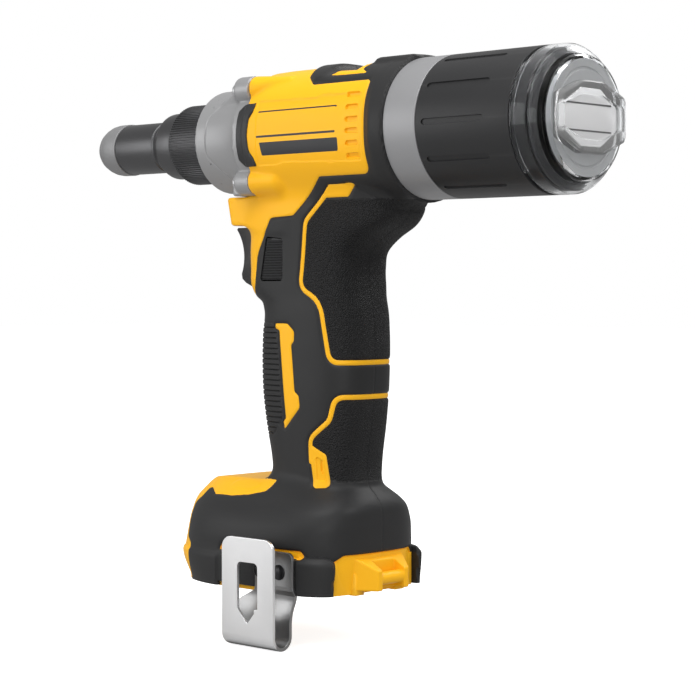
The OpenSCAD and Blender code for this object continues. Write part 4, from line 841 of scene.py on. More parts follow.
CREASE = np.array([(-190, -24), (-195, -26.2), (-202.7, -30.6), (-208, -35.4), (-213, -39)])
PEBBLED_HIGH = np.vstack([LINE_1[:-1], [(-240, -104.2), (-240, -31), (-172, -31)]])
PEBBLED_LOW = np.vstack([LINE_2[1:-1], [(-164.6, -146), (-173.2, -147), (-175.2, -157.6), (-178, -158.6),
                                        (-240, -157), (-240, -119.7)]])
FOOT_SLOT = rounded([(-123.6, -191.8, 0.5), (-126.8, -187.9, 1), (-173.4, -188.9, 1), (-176.4, -192.4, 0.8)])
# The opening at the back of the foot, in Y and Z
FOOT_REAR = rounded([(28.3, -212), (28.3, -195, 1.5), (22, -190.7, 3), (-22, -190.7, 3), (-28.3, -195, 1.5),
                     (-28.3, -212)])
FOOT_REAR_X = -183
# The foot's cover from above, in X and the distance from the middle
COVER = rounded([(-60, 60), (-99.6, 60), (-99.2, 27, 2), (-100.6, 20.8, 1.6), (-109.7, 27.2, 3),
                 (-122.3, 28.4), (-132.2, 27.4, 6), (-141.4, 24.8, 2), (-143.2, 20), (-143.2, -60),
                 (-60, -60)])
COVER_TOP, COVER_SHIFT, SHIFT_LOW, SHIFT_HIGH = -159.4, 4.4, (-192, -188), (169, 174)
LEGS = ((-60, -123.8, -230, -193.6, 2), (-172.8, -240, -230, -193, 2))
RUBBER_SOLE, LEG_DROP = -206.8, 1.8
LENS_Z, LENS_R, LENS_FLAT, LENS_REAR = -170, 3.8, 1.1, -110
VENTS, VENT_X, VENT_HALF = [14.9, 9.4, 3.9, -1.1, -6.6, -12.2], (-203.2, -195.4), 1.25
TRIGGER_GAP, TRIGGER_REAR = (-9.5, 9.5, -72.6, -41.2, 1), -128
SIDE_Y, PANEL_Y, LOCK_Y = 20, 18, 12
RIB_PITCH, RIB_FIRST = 2.45, -87.6
LOCK_PITCH, LOCK_RIB, LOCK_SINK, LOCK_DEEP = 1.2, 0.55, 0.3, 4.5
SHELL_WALL, RUBBER_WALL, PRINT_WALL, LENS_WALL = 1.6, 1.3, 0.5, 1.2

# The raised oval on the cover: its middle in X and Y, half length, half width, and its reach in Z
OVAL_X, OVAL_Y, OVAL_LONG, OVAL_WIDE, OVAL_Z = -126, 22.2, 10.5, 3.4, (-171, -158)
TONGUE_FADE, RIB_BORDER_TOP, CREASE_TOP, CREASE_WIDE = (-181, -174), -129, -20, 0.9
FAR = 3.0  # stands for a line that isn't near

# Widths of the grooves and of the slopes at the edges of recesses
COLOUR_GROOVE, SEAM_GROOVE, RIB_GROOVE = 0.6, 0.35, 0.42
PANEL_EDGE, VENT_EDGE, WINDOW_EDGE, BADGE_EDGE = 0.5, 0.35, 0.4, 0.4
LOCK_GAP = 0.5


def tongue(p):
    """The black rubber's upper tongue, without the yellow stripe in it."""
    x, _, z = p.T
    return np.maximum(outline(x, z, TONGUE), -outline(x, z, STRIPE))


def windows(p):
    """The openings in the foot's rubber, where the frame shows."""
    x, y, z = p.T
    slot = np.maximum(outline(x, z, FOOT_SLOT), SIDE_Y - np.abs(y))
    return np.minimum(slot, np.maximum(outline(y, z, FOOT_REAR), x - FOOT_REAR_X))


def cover(p):
    """The foot's cover, whose edge lies further forward half way down."""
    x, y, z = p.T
    forward = COVER_SHIFT * step(z, *SHIFT_LOW) * step(-z, *SHIFT_HIGH)
    return smooth_max(outline(x - forward, np.abs(y), COVER), z - COVER_TOP, 0.8)


def lens(p):
    x, y, z = p.T
    return np.maximum(np.hypot(y, (z - LENS_Z) * LENS_FLAT) - LENS_R, LENS_REAR - x)


def legs(p):
    x, _, z = p.T
    return np.min([slab(x, z, *leg) for leg in LEGS], 0)


def underside(p):
    """Height above the rubber's lower edge, which is lower on the legs."""
    return p[:, 2] - RUBBER_SOLE + LEG_DROP * (legs(p) < 0)


def accents(p):
    """The yellow lines and marks in the rubber."""
    x, _, z = p.T
    lines = [stroke(x, z, path, LINE_HALF) for path in (LINE_1, LINE_2)]
    return np.min([*lines, *(outline(x, z, mark) for mark in (PAD, STRIP, BADGE))], 0)


def yellow(p):
    """Distance into the rubber; below zero on the yellow shell."""
    x, _, z = p.T
    upper = smooth_max(outline(x, z, UPPER), -tongue(p), 2.5)
    return np.min([upper, accents(p), windows(p), cover(p)], 0)


def label(p):
    """The dark bar and the two thin lines on the side."""
    x, y, z = p.T
    marks = [outline(x, z, MARK), *(slab(x, z, *rule) for rule in RULES)]
    return np.maximum(np.min(marks, 0), SIDE_Y - np.abs(y))


def panel(p):
    """The shallow field round the label."""
    x, y, z = p.T
    return np.maximum(outline(x, z, PANEL), PANEL_Y - np.abs(y))


def vents(p):
    x, y, z = p.T
    slots = [slab(x, z, *VENT_X, v - VENT_HALF, v + VENT_HALF, 0.4) for v in VENTS]
    return np.maximum(np.min(slots, 0), SIDE_Y - np.abs(y))


def lock_patch(p):
    x, y, z = p.T
    return np.maximum(outline(x, z, LOCK), LOCK_Y - np.abs(y))


def trigger_gap(p):
    x, y, z = p.T
    return np.maximum(slab(y, z, *TRIGGER_GAP), TRIGGER_REAR - x)


badge_floor, badge_slot, rib_zone = on_side(BADGE_IN), on_side(BADGE_SLOT), on_side(RIBBED)


def rib_wave(p):
    """Height above the nearest groove of the ribbed front."""
    return ((p[:, 2] - RIB_FIRST) / RIB_PITCH % 1 - 0.5) * RIB_PITCH


def groove(d, half):
    """1 on a line, falling to 0 at half a groove's width from it."""
    return np.clip(1 - np.abs(d) / half, 0, 1)


def recess(d, edge):
    """0 outside a line, rising to 1 over the slope at a recess's edge."""
    return np.clip(-d / edge, 0, 1)


def relief(p):
    """How far each point of the shell stands out of its plain form: the sum of heights and where they are."""
    x, y, z = p.T
    into_rubber, open_foot, ribs = yellow(p), windows(p), rib_zone(p)
    oval = 1 - np.hypot((x - OVAL_X) / OVAL_LONG, (np.abs(y) - OVAL_Y) / OVAL_WIDE)
    at_oval = (z > OVAL_Z[0]) & (z < OVAL_Z[1])
    crease = np.exp(-(stroke(x, z, CREASE, 0) / CREASE_WIDE) ** 2)
    parts = {
        "colour_groove": (-0.34, groove(into_rubber, COLOUR_GROOVE)),
        "proud_rubber": (0.3, step(into_rubber, 0, 1.4)),
        "panel": (-0.3, recess(outline(x, z, PANEL), PANEL_EDGE) * (np.abs(y) > PANEL_Y)),
        "tongue_tip": (1.0, step(-outline(x, z, TONGUE), 0, 3) * step(x, *TONGUE_FADE)),
        "vents": (-1.0, recess(vents(p), VENT_EDGE)),
        "windows": (-1.0, recess(open_foot, WINDOW_EDGE)),
        "badge": (-0.5, recess(badge_floor(p), BADGE_EDGE)),
        "badge_slot": (-0.8, recess(badge_slot(p), 0.3)),
        "ribs": (-0.5, recess(ribs, 0.8) * groove(rib_wave(p), RIB_GROOVE)),
        "rib_border": (-0.4, groove(ribs, 0.5) * (z < RIB_BORDER_TOP)),
        "crease": (-0.55, crease * (z < CREASE_TOP)),
        "cover_oval": (0.3, step(oval, 0, 0.25) * at_oval),
        "lens_rim": (-0.4, groove(lens(p), 0.5)),
        "legs": (0.9, step(-legs(p), -0.4, 1.4) * (open_foot > 0.2)),
        "middle_seam": (-0.12, groove(y, SEAM_GROOVE) * (cover(p) > 0)),
    }
    return sum(height * share for height, share in parts.values())


# Skin of the housing, cut into its pieces

SHELL_SKIN, RUBBER_SKIN, PRINT, LOCK_END, COVER_SKIN, LENS, GONE = range(7)
CUTS = (
    yellow, beyond(yellow, COLOUR_GROOVE), beyond(yellow, -COLOUR_GROOVE),
    lambda q: q[:, 1], lambda q: np.abs(q[:, 1]) - SEAM_GROOVE,
    panel, beyond(panel, -PANEL_EDGE), label, vents, beyond(vents, -VENT_EDGE),
    beyond(windows, -WINDOW_EDGE), badge_floor, beyond(badge_floor, -BADGE_EDGE), badge_slot,
    lambda q: np.where(rib_zone(q) < 0, rib_wave(q), FAR),
    lambda q: np.where(rib_zone(q) < 0, np.abs(rib_wave(q)) - RIB_GROOVE, FAR),
    lock_patch, beyond(lock_patch, LOCK_GAP), trigger_gap, underside, lens,
)


def kinds(c):
    """Which piece the skin belongs to at each place."""
    kind = np.where(yellow(c) < 0, SHELL_SKIN, RUBBER_SKIN)
    kind = np.where((label(c) < 0) & (kind == SHELL_SKIN), PRINT, kind)
    patch = lock_patch(c)
    kind = np.where(patch < 0, LOCK_END, np.where(patch < LOCK_GAP, GONE, kind))
    on_cover = np.where(lens(c) < 0, LENS, COVER_SKIN)
    kind = np.where((cover(c) < 0) & (kind == SHELL_SKIN), on_cover, kind)
    return np.where((trigger_gap(c) < 0) | (underside(c) < 0), GONE, kind)


def lock_patches(p, t):
    """The ends of the cross button, each with fine level ribs."""
    used, t = np.unique(t, return_inverse=True)
    p, t = p[used], t.reshape(-1, 3)
    low, high = p[:, 2].min(), p[:, 2].max()
    for k in range(1, int((high - low) / LOCK_PITCH * 2)):
        p, t = split(p, t, lambda q: q[:, 2] - low - k * LOCK_PITCH / 2, shell, 0.08)
    wave = np.abs((p[:, 2] - low) / LOCK_PITCH % 1 - 0.5) * 2
    height = LOCK_RIB * np.where(lock_patch(p) > -0.02, 0, wave) - LOCK_SINK
    out = p + facing(shell, p) * height[:, None]
    points, faces = thickened(out, t, np.sign(p[:, 1:2]) * (0, 1, 0), LOCK_DEEP)
    piece("lock_patches", points, faces, TRIM, "lock_button", angle=30)


def make_shell():
    """The housing's skin, cut along its lines and split into the pieces of both sides."""
    p, t = skin(shell, low=(-222, -41, -212), high=(-76, 41, 36), pitch=1.0)
    for line in CUTS:
        p, t = split(p, t, line, shell)
    n = facing(shell, p)
    c = p[t].mean(1)
    kind = kinds(c)
    out = p + n * relief(p)[:, None]
    pebbled = np.minimum(on_side(PEBBLED_HIGH)(p), on_side(PEBBLED_LOW)(p)) < 0.05

    def part(name, wanted, finish, node, depth, replaces=True):
        used, place = np.unique(t[wanted], return_inverse=True)
        points, faces = thickened(out[used], place.reshape(-1, 3), n[used], depth)
        obj = piece(name, points, faces, finish, node, replaces, angle=30)
        if finish is RUBBER:
            mask = obj.data.attributes.new("pebbled", "FLOAT", "POINT")
            mask.data.foreach_set("value", np.tile(pebbled[used], 2).astype(np.float32))

    for name, sign in (("left", 1), ("right", -1)):
        half = c[:, 1] * sign > 0
        part(name + "_shell", half & (kind == SHELL_SKIN), YELLOW, name + "_housing", SHELL_WALL)
        part(name + "_rubber", half & (kind == RUBBER_SKIN), RUBBER, name + "_overmould", RUBBER_WALL)
        part(name + "_label", half & (kind == PRINT), LABEL, name + "_housing", PRINT_WALL, False)
    part("foot_cover_body", kind == COVER_SKIN, YELLOW, "foot_cover", SHELL_WALL)
    part("light_lens", kind == LENS, LIGHT, "work_light", LENS_WALL)
    lock_patches(p, t[kind == LOCK_END])


make_shell()


# Gear case

CASE_FACE, CASE_START, CASE_LONG, CASE_R, CASE_FLARE, CASE_SLOPE = -93, -94.2, 29.0, 24.8, 4.3, 0.97
LUGS, LUG_Y, LUG_FACE = ((22, 6.2), (-21, 6.3)), 20.5, -121
BRACE = ((-125, 20, 20.6), (-109, 16.8, 16), 4.6, 2.6)
BLOCK, BLOCK_HALF = (-113.5, -145, -27.2, -16, 1.4), 19.4
CAVITY_R, CAVITY_FRONT, CASE_BORE = 23.9, -100.5, 14.3
CONTOUR = rounded([(-113, 23), (-100.4, 10, 5), (-100.4, -8, 5), (-112.5, -20.5)])
CONTOUR_HALF, CONTOUR_DEEP, CONTOUR_Y = 0.45, 0.32, 8


def case_form(x, y, z):
    side, radius = np.abs(y), np.hypot(y, z)
    drawn_in = np.sqrt(np.clip(1 - ((CASE_START - x) / CASE_LONG) ** 2, 0, 1))
    d = (radius - (CASE_R + CASE_FLARE * (1 - drawn_in))) * CASE_SLOPE
    d = smooth_max(d, x - CASE_FACE, 1.0)
    for high, r in LUGS:
        lug = smooth_max(np.hypot(side - LUG_Y, z - high) - r, x - LUG_FACE, 2.4)
        d = smooth_min(d, lug, 0.8)
    d = smooth_min(d, capsule(x, side, z, *BRACE), 2.5)
    d = smooth_min(d, smooth_max(slab(x, z, *BLOCK), side - BLOCK_HALF, 1.2), 0.8)
    d = smooth_max(d, -np.maximum(radius - CAVITY_R, x - CAVITY_FRONT), 0.4)
    d = smooth_max(d, CASE_BORE - radius, 0.4)
    return smooth_max(d, SEAM + 0.1 - x, 0.3)


def make_case():
    """The casting, with a shallow contour line on each side."""
    closed = on_side(np.vstack([CONTOUR, [(-150, -20.5), (-150, 23)]]))
    p, t = skin(case_form, low=(-133, -30, -31), high=(-91, 30, 31), pitch=0.8)
    for by in (-CONTOUR_HALF, 0, CONTOUR_HALF):
        p, t = split(p, t, beyond(closed, by), case_form, 0.12)
    line = np.where(np.abs(p[:, 1]) > CONTOUR_Y, stroke(p[:, 0], p[:, 2], CONTOUR, 0), FAR)
    p = p - facing(case_form, p) * (CONTOUR_DEEP * groove(line, CONTOUR_HALF))[:, None]
    piece("gear_case_body", p, t, CAST, "gear_case", angle=40)


make_case()


# Nose, ring and barrel. Profiles: X, distance from the axis, radius of the corner

piece("nosepiece_body", *turned(rounded([
    (0, 2.3, 0.3), (0, 6, 0.8), (-0.9, 6.5), (-2.8, 8.3), (-5.4, 10.3), (-8.2, 11.7), (-10.8, 12.6),
    (-13.6, 13), (-20, 13.05, 0.3), (-20, 11.2), (-28, 11.2, 0.3), (-28, 4.2), (-32, 4.2), (-32, 2.3)])),
    TIP, "nosepiece")
piece("nose_barrel", *turned(rounded([
    (-20.08, 11.3), (-20.08, 12.65, 0.9), (-47.7, 12.65, 0.3), (-48.1, 12.2, 0.2), (-48.9, 12.2, 0.2),
    (-50, 12.5, 1.5), (-52.6, 14.4, 3), (-55.4, 16.3, 2.5), (-65.3, 16.4, 0.3), (-65.3, 14), (-98.8, 14, 0.4),
    (-98.8, 11.3)])), OXIDE, "nose_housing")


def ring_tree(cutting):
    """Geometry nodes: a unit repeated about the X axis, joined to a turned form or cut from it."""
    tree = bpy.data.node_groups.new("ring_cut" if cutting else "ring_join", "GeometryNodeTree")
    for title, kind in (("Form", "Geometry"), ("Unit", "Object"), ("Count", "Int"), ("Finish", "Material")):
        tree.interface.new_socket(title, in_out="INPUT", socket_type="NodeSocket" + kind)
    tree.interface.new_socket("Result", in_out="OUTPUT", socket_type="NodeSocketGeometry")
    given = tree.nodes.new("NodeGroupInput").outputs
    spots = add(tree, "GeometryNodeMeshLine", {"Count": given["Count"], "Offset": (0, 0, 0)}).outputs[0]
    share = maths(tree, "DIVIDE", 2 * math.pi, given["Count"])
    angle = maths(tree, "MULTIPLY", add(tree, "GeometryNodeInputIndex").outputs[0], share)
    turn = add(tree, "ShaderNodeCombineXYZ", {"X": angle}).outputs[0]
    unit = add(tree, "GeometryNodeObjectInfo", {"Object": given["Unit"]}).outputs["Geometry"]
    placed = add(tree, "GeometryNodeInstanceOnPoints", {"Points": spots, "Instance": unit, "Rotation": turn})
    real = add(tree, "GeometryNodeRealizeInstances", {"Geometry": placed.outputs[0]}).outputs[0]
    if cutting:
        whole = add(tree, "GeometryNodeMeshBoolean", {"Mesh 1": given["Form"], "Mesh 2": real},
                    operation="DIFFERENCE", solver="EXACT")
    else:
        whole = add(tree, "GeometryNodeJoinGeometry", {0: given["Form"]})
        tree.links.new(real, whole.inputs[0])
    done = add(tree, "GeometryNodeSetMaterial", {"Geometry": whole.outputs[0], "Material": given["Finish"]})
    tree.links.new(done.outputs[0], tree.nodes.new("NodeGroupOutput").inputs[0])
    return tree


def ring_of(name, form, unit, count, finish, node, cutting):
    """A turned form with a unit repeated round it."""
    base = shown(name + "_form", mesh_of(name + "_form", *form))
    one = shown(name + "_unit", mesh_of(name + "_unit", *unit))
    tree = ring_tree(cutting)
    names = {s.name: s.identifier for s in tree.interface.items_tree}
    mod = base.modifiers.new("ring", "NODES")
    mod.node_group = tree
    for title, value in (("Unit", one), ("Count", count), ("Finish", finish)):
        mod[names[title]] = value
    mesh = bpy.data.meshes.new_from_object(base.evaluated_get(bpy.context.evaluated_depsgraph_get()))
    base.modifiers.clear()
    for obj in (base, one):
        bpy.data.objects.remove(obj)
    mesh.name = name
    carried(name, mesh, node)


def bar(x0, x1, half, low, high, soft):
    """A bar along X that stands between two heights, with a rounded top and ends."""
    points = []
    for x, drop in ((x0, soft), (x0 + soft, 0), (x1 - soft, 0), (x1, soft)):
        top = high - drop
        points += [(x, -half, low), (x, -half, top - half * 0.6), (x, -half * 0.5, top), (x, half * 0.5, top),
                   (x, half, top - half * 0.6), (x, half, low)]
    return points, [[5, 4, 3, 2, 1, 0], [18, 19, 20, 21, 22, 23], *bands(4, 6)]


def flute(x0, x1, half, low):
    """A cutter with round ends, along X, narrower at its floor."""
    turns = np.linspace(-math.pi / 2, math.pi / 2, 9)
    flat = [(x1 - half + half * math.cos(a), half * math.sin(a)) for a in turns]
    flat += [(x0 + half - half * math.cos(a), -half * math.sin(a)) for a in turns]
    count = len(flat)
    points = [(x, y * 0.7, low) for x, y in flat] + [(x, y * 1.3, low + 4) for x, y in flat]
    return points, [list(range(count))[::-1], list(range(count, 2 * count)), *bands(2, count)]


RING_SIDES, KNURLS, FLUTES = 192, 96, 12
ring_of("lock_ring_body", turned(rounded([
    (-65.7, 14.1), (-65.7, 16.9, 0.4), (-68.4, 18.9, 1.6), (-71, 19.05, 0.5), (-91.6, 19.05, 0.4),
    (-92.4, 18.6, 0.3), (-92.8, 14.1)]), RING_SIDES),
    bar(-92.2, -68.4, 0.36, 18.4, 19.5, 0.4), KNURLS, KNURL, "lock_ring", False)
piece("rear_ring_body", *turned(rounded([
    (-220.1, 24), (-220.1, 31.5, 0.6), (-238.4, 31.5, 0.35), (-238.4, 28.4), (-246.4, 28.4, 0.4),
    (-246.4, 25.5), (-236.6, 25.5), (-232.6, 9), (-225, 9), (-225, 24)])), RING, "rear_ring")
ring_of("collection_barrel_body", turned(rounded([
    (-238.7, 28.5), (-238.7, 31.5, 0.5), (-289.2, 31.5, 0.3), (-289.2, 29.9), (-297, 29.9, 0.4),
    (-297, 28.5)]), RING_SIDES),
    flute(-276.2, -242, 1.7, 30.85), FLUTES, JAR, "collection_barrel", True)


# Cap

BAR_REACH, BAR_MIDDLE, BAR_END = 22.5, 15, 9  # half the grip bar's length, and half its width at two places


def sector(profile, start, end, count):
    """A closed (x, r) profile swept about the X axis between two angles."""
    ring = np.array(profile, float)
    rows = len(ring)
    turns = np.radians(np.linspace(start, end, count))
    points = [(x, r * math.cos(a), r * math.sin(a)) for a in turns for x, r in ring]
    faces = [list(range(rows)), list(range((count - 1) * rows, count * rows))[::-1]]
    return points, faces + [[a, d, c, b] for a, b, c, d in bands(count, rows)]


def bar_outline(grow):
    """The grip bar's outline in Y and Z, wider in its middle."""
    reach, middle, end = BAR_REACH + grow, BAR_MIDDLE + grow, BAR_END + grow
    lower = [(-reach, -end, 2.4), (-reach / 3, -middle, 6), (reach / 3, -middle, 6), (reach, -end, 2.4)]
    upper = [(reach, end, 2.4), (reach / 3, middle, 6), (-reach / 3, middle, 6), (-reach, end, 2.4)]
    return rounded(lower + upper)


def cap_bar():
    """The hollow grip bar: outlines one inside the other, each at its X."""
    low, high = -305.4, -310
    inner = bar_outline(-2.6) * (1, 0.75)
    rows = [(bar_outline(0), low), (bar_outline(0), high + 0.8), (bar_outline(-0.8), high),
            (bar_outline(-1.9) * (1, 0.8), high), (inner, high + 0.7), (inner, low)]
    points = [(x, u, v) for flat, x in rows for u, v in flat]
    return points, bands(len(rows), len(inner), True)


CAP_SIDES = 128
TAB_SWEEP, TAB_SIDES = 94, 48
outward(piece("cap_shell", *turned(rounded([
    (-291.3, 30.1), (-291.3, 31.5, 0.4), (-298.6, 31.5, 2.4), (-301.4, 29.6, 2), (-302.9, 27.6, 0.8),
    (-302.9, 26.4, 0.5), (-305.2, 26.4, 0.9), (-306, 25.2, 0.6), (-306, 24.6), (-303.4, 24.6),
    (-303.4, 25.2, 0.4), (-301.4, 25.6, 0.6), (-300.8, 27.4, 1), (-298.6, 29.4, 1.4), (-296.8, 30.1, 0.6)]),
    RING_SIDES), CLEAR, "end_cap"))
outward(piece("cap_liner", *turned([
    (-297.4, 28.4), (-297.4, 29.2), (-299.2, 28.7), (-300.6, 27), (-300.2, 26.4), (-298.8, 28)], CAP_SIDES),
    JAR, "end_cap", replaces=False))
outward(piece("cap_window", *turned([
    (-305.4, 0), (-305.4, 19.8), (-305, 20.2), (-305, 20.8), (-305.4, 21.2), (-305.4, 24.55), (-303.5, 24.55),
    (-303.5, 0)], CAP_SIDES), FROST, "end_cap", replaces=False))
for name, start in (("cap_tab_left", -47), ("cap_tab_right", 133)):
    tab = rounded([(-291.5, 30.1), (-291.5, 31.5), (-289.5, 31.5, 0.4), (-289.5, 30.1)])
    outward(piece(name, *sector(tab, start, start + TAB_SWEEP, TAB_SIDES), CLEAR, "end_cap", replaces=False))
outward(piece("cap_frame", *cap_bar(), MILKY, "end_cap", replaces=False))
softened("cap_plate", 0.25)
plate_lines = [((-307.0, -15.5, z - 0.35), (-306.5, 15.5, z + 0.35)) for z in (-5.6, 5.6)]
piece("cap_plate_lines", *boxes(*plate_lines), PLATE_DARK, "cap_plate", replaces=False)


# Trims

TRIM_SIDE = rounded([(-126.4, -11, 1), (-126.4, 11.4, 1), (-129.6, 14.6, 1), (-137.8, 14.6, 0.5),
                     (-136.6, 10.6, 0.8), (-134.4, 7.6, 3), (-133.6, 0), (-134.4, -7.4, 3),
                     (-136.8, -10.4, 0.8), (-138, -14.2, 0.5), (-129.6, -14.2, 1)])
TRIM_EDGE, TRIM_LOW, TRIM_RISE, TRIM_WALL = 0.5, 0.35, 0.5, 1.4


def carrier(x, y, z):
    return smooth_min(barrel(x, y, z), case_form(x, y, z), 1.5)


def make_trims():
    """Bracket plates that follow the case and the housing's side, rounded over at their rims."""
    edge = on_side(TRIM_SIDE)
    p, t = skin(carrier, low=(-140, 12, -17), high=(-124, 33, 17), pitch=0.7)
    for by in (0, -TRIM_EDGE):
        p, t = split(p, t, beyond(edge, by), carrier, 0.15)
    n = facing(carrier, p)
    out = p + n * (TRIM_LOW + TRIM_RISE * step(-edge(p), 0, TRIM_EDGE))[:, None]
    used, place = np.unique(t[edge(p[t].mean(1)) < 0], return_inverse=True)
    points, faces = thickened(out[used], place.reshape(-1, 3), n[used], TRIM_WALL)
    for name, sign in (("left", 1), ("right", -1)):
        piece("trim_" + name, points * (1, sign, 1), [f[::sign] for f in faces], TRIM, name + "_trim")


make_trims()


# Belt hook: a plate with a window, a bend under it and a leaf that lies on the foot

HOOK_MID, HOOK_HALF, HOOK_TOP, HOOK_BEND = -155.7, 16.5, -182.9, -226.9
HOOK_FRONT, HOOK_REAR = HOOK_MID + HOOK_HALF, HOOK_MID - HOOK_HALF
HOOK_OUT, HOOK_THICK, BEND_R, BEND_STEPS = 50.9, 1.6, 5.3, 16
WINDOW_TOP = -194.0
HOOK_EDGE = rounded([(HOOK_FRONT, HOOK_BEND), (HOOK_FRONT, HOOK_TOP, 5.5), (HOOK_REAR, HOOK_TOP, 5.5),
                     (HOOK_REAR, HOOK_BEND)])
HOOK_WINDOW = rounded([
    (HOOK_MID + 6.5, WINDOW_TOP, 2.4), (HOOK_MID - 6.5, WINDOW_TOP, 2.4), (HOOK_MID - 6.5, -214.6, 0.4),
    (HOOK_MID - 4.2, -215, 0.4), (HOOK_MID - 4.4, -216.6, 0.6), (HOOK_MID, -221.6, 1),
    (HOOK_MID + 6.5, -215.2, 1.5)])
# The leaf, from the bend up: Y and Z of its middle, front and rear edge
LEAF_Y, LEAF_END = 39.5, -188
LEAF = [
    (LEAF_Y, -224, -138.4, -172.2), (LEAF_Y, -221, -137.2, -172.2), (39.3, -218.6, -136.4, -172.3),
    (38.9, -216.4, -136.2, -172.4), (38.3, -214, -137.4, -172.7), (37.8, -212, -140.4, -173.1),
    (37.6, -210.3, -143.6, -173.5), (37.7, -208.8, -146.2, -173.8), (38.3, -207.4, -148.2, -173.9),
    (39.1, -206.3, -149.3, -173.9), (LEAF_Y, -204.8, -149.9, -173.9), (LEAF_Y, -192.6, -150, -173.8),
    (LEAF_Y, -190.9, -150.5, -173.3), (LEAF_Y, -189.8, -151.6, -172.2), (LEAF_Y, -189.3, -153.4, -170.4)]


def halves(points, gap=0.0):
    """The points of an outline in front of the hook's middle, and those behind it."""
    rows = [tuple(v) for v in points]
    return [v for v in rows if v[0] > HOOK_MID + gap], [v for v in rows if v[0] < HOOK_MID - gap]


def hook_plate():
    """Points and faces of the plate, and the ends that the bend goes on from."""
    front, rear = halves(HOOK_EDGE)
    top, low = (HOOK_MID, HOOK_TOP), (HOOK_MID, HOOK_BEND)
    window_front, window_rear = (sorted(side, key=lambda v: -v[1]) for side in halves(HOOK_WINDOW, 0.05))
    high, deep = (HOOK_MID, WINDOW_TOP), (HOOK_MID, float(HOOK_WINDOW[:, 1].min()))
    loops = [[low, *front, top, high, *window_front, deep], [top, *rear, low, deep, *window_rear[::-1], high]]
    flat = {}

    def key(v):
        return round(v[0], 4), round(v[1], 4)

    def number(row):
        return [flat[key(v)] for v in row]

    for v in loops[0] + loops[1]:
        flat.setdefault(key(v), len(flat))
    count = len(flat)
    points = [(u, HOOK_OUT - depth, v) for depth in (0, HOOK_THICK) for u, v in flat]
    faces = []
    for ids in map(number, loops):
        faces += [ids, [i + count for i in ids[::-1]]]
    rim = number([*front, top, *rear])
    window = number([high, *window_front, deep, *window_rear[::-1]])
    for a, b in [*zip(rim, rim[1:]), *zip(window, window[1:] + window[:1])]:
        faces.append([a, b, b + count, a + count])
    ends = number([(HOOK_FRONT, HOOK_BEND), low, (HOOK_REAR, HOOK_BEND)])
    return points, faces, ends + [i + count for i in ends]


def hook():
    """Points and faces of the hook: the plate, then rows of six points along the bend and the leaf."""
    points, faces, last = hook_plate()
    plate_y = HOOK_OUT - HOOK_THICK / 2
    rows = [(plate_y - BEND_R + BEND_R * math.cos(a), HOOK_BEND - BEND_R * math.sin(a), HOOK_FRONT, HOOK_REAR)
            for a in np.linspace(0, math.pi, BEND_STEPS + 1)[1:]] + LEAF
    path = np.array(rows)[:, :2]
    way = np.vstack([path[1:], [(LEAF_Y, LEAF_END)]]) - np.vstack([[(plate_y, HOOK_BEND)], path[:-1]])
    way /= np.linalg.norm(way, axis=1)[:, None]
    for (y, z, front, rear), (wy, wz) in zip(rows, way):
        now = list(range(len(points), len(points) + 6))
        for side in (HOOK_THICK / 2, -HOOK_THICK / 2):
            points += [(x, y - side * wz, z + side * wy) for x in (front, HOOK_MID, rear)]
        for a, b in ((0, 1), (1, 2), (5, 4), (4, 3), (2, 5), (3, 0)):
            faces.append([last[a], last[b], now[b], now[a]])
        last = now
    faces.append([last[i] for i in (0, 1, 2, 5, 4, 3)])
    return points, faces


piece("belt_hook_sheet", *bevelled(*hook(), 0.22), SHEET, "belt_hook", angle=14)
PIN_PLACE = (-165.4, 40.2, -198.6)
points, faces = turned([(0, 0), (0, 3.5), (0.5, 3.5), (1.1, 2.6), (1.1, 0)], 40)
points = points[:, [1, 0, 2]] * (1, 1, -1) + PIN_PLACE
outward(piece("hook_pin", points, faces, ZINC, "hook_screw", replaces=False))


# Foot and inner pieces

LANYARD_ROOT, LANYARD_END, LANYARD_LOW = -192, -198.9, -207.2
LANYARD_HALF, LANYARD_TOP, LANYARD_SEAT = 14.6, -193.9, -187.5
POCKET_HALF, POCKET_FRONT = 7.3, -192.4
LANYARD_BAR_X, LANYARD_BAR_Z, LANYARD_BAR_R, LANYARD_BAR_HALF = -195.9, -202, 2.95, 9
LANYARD_SIDE_LEAN, LANYARD_TOP_LEAN = 0.62, 0.58
FRAME_CUT = -190.2


def lanyard_form(x, y, z):
    """A wedge at the back of the foot with a pocket, and a bar across it."""
    side, out = np.abs(y), LANYARD_ROOT - x
    d = smooth_max(side - LANYARD_HALF + out * LANYARD_SIDE_LEAN, LANYARD_END - x, 0.8)
    d = smooth_max(d, z - LANYARD_TOP + out * LANYARD_TOP_LEAN, 0.8)
    d = smooth_max(d, LANYARD_LOW - z, 0.8)
    d = smooth_max(d, -np.maximum(side - POCKET_HALF, x - POCKET_FRONT), 0.6)
    round_bar = np.hypot(x - LANYARD_BAR_X, z - LANYARD_BAR_Z) - LANYARD_BAR_R
    d = smooth_min(d, np.maximum(round_bar, side - LANYARD_BAR_HALF), 0.5)
    return np.maximum(d, x - LANYARD_SEAT)


def trimmed_frame():
    """The rail frame, its rear bar left to the wedge."""
    obj = softened("rail_frame", 0.5)
    with edited(obj.data) as shape:
        geom = shape.verts[:] + shape.edges[:] + shape.faces[:]
        bmesh.ops.bisect_plane(shape, geom=geom, plane_co=(FRAME_CUT * MM, 0, 0), plane_no=(-1, 0, 0),
                               clear_outer=True)
        bmesh.ops.holes_fill(shape, edges=[e for e in shape.edges if e.is_boundary])


def jaw_coil():
    """The spring behind the jaws, as a merged copy of the part with a mesh of its own."""
    coil = softened("jaw_spring", 0)
    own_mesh(coil)


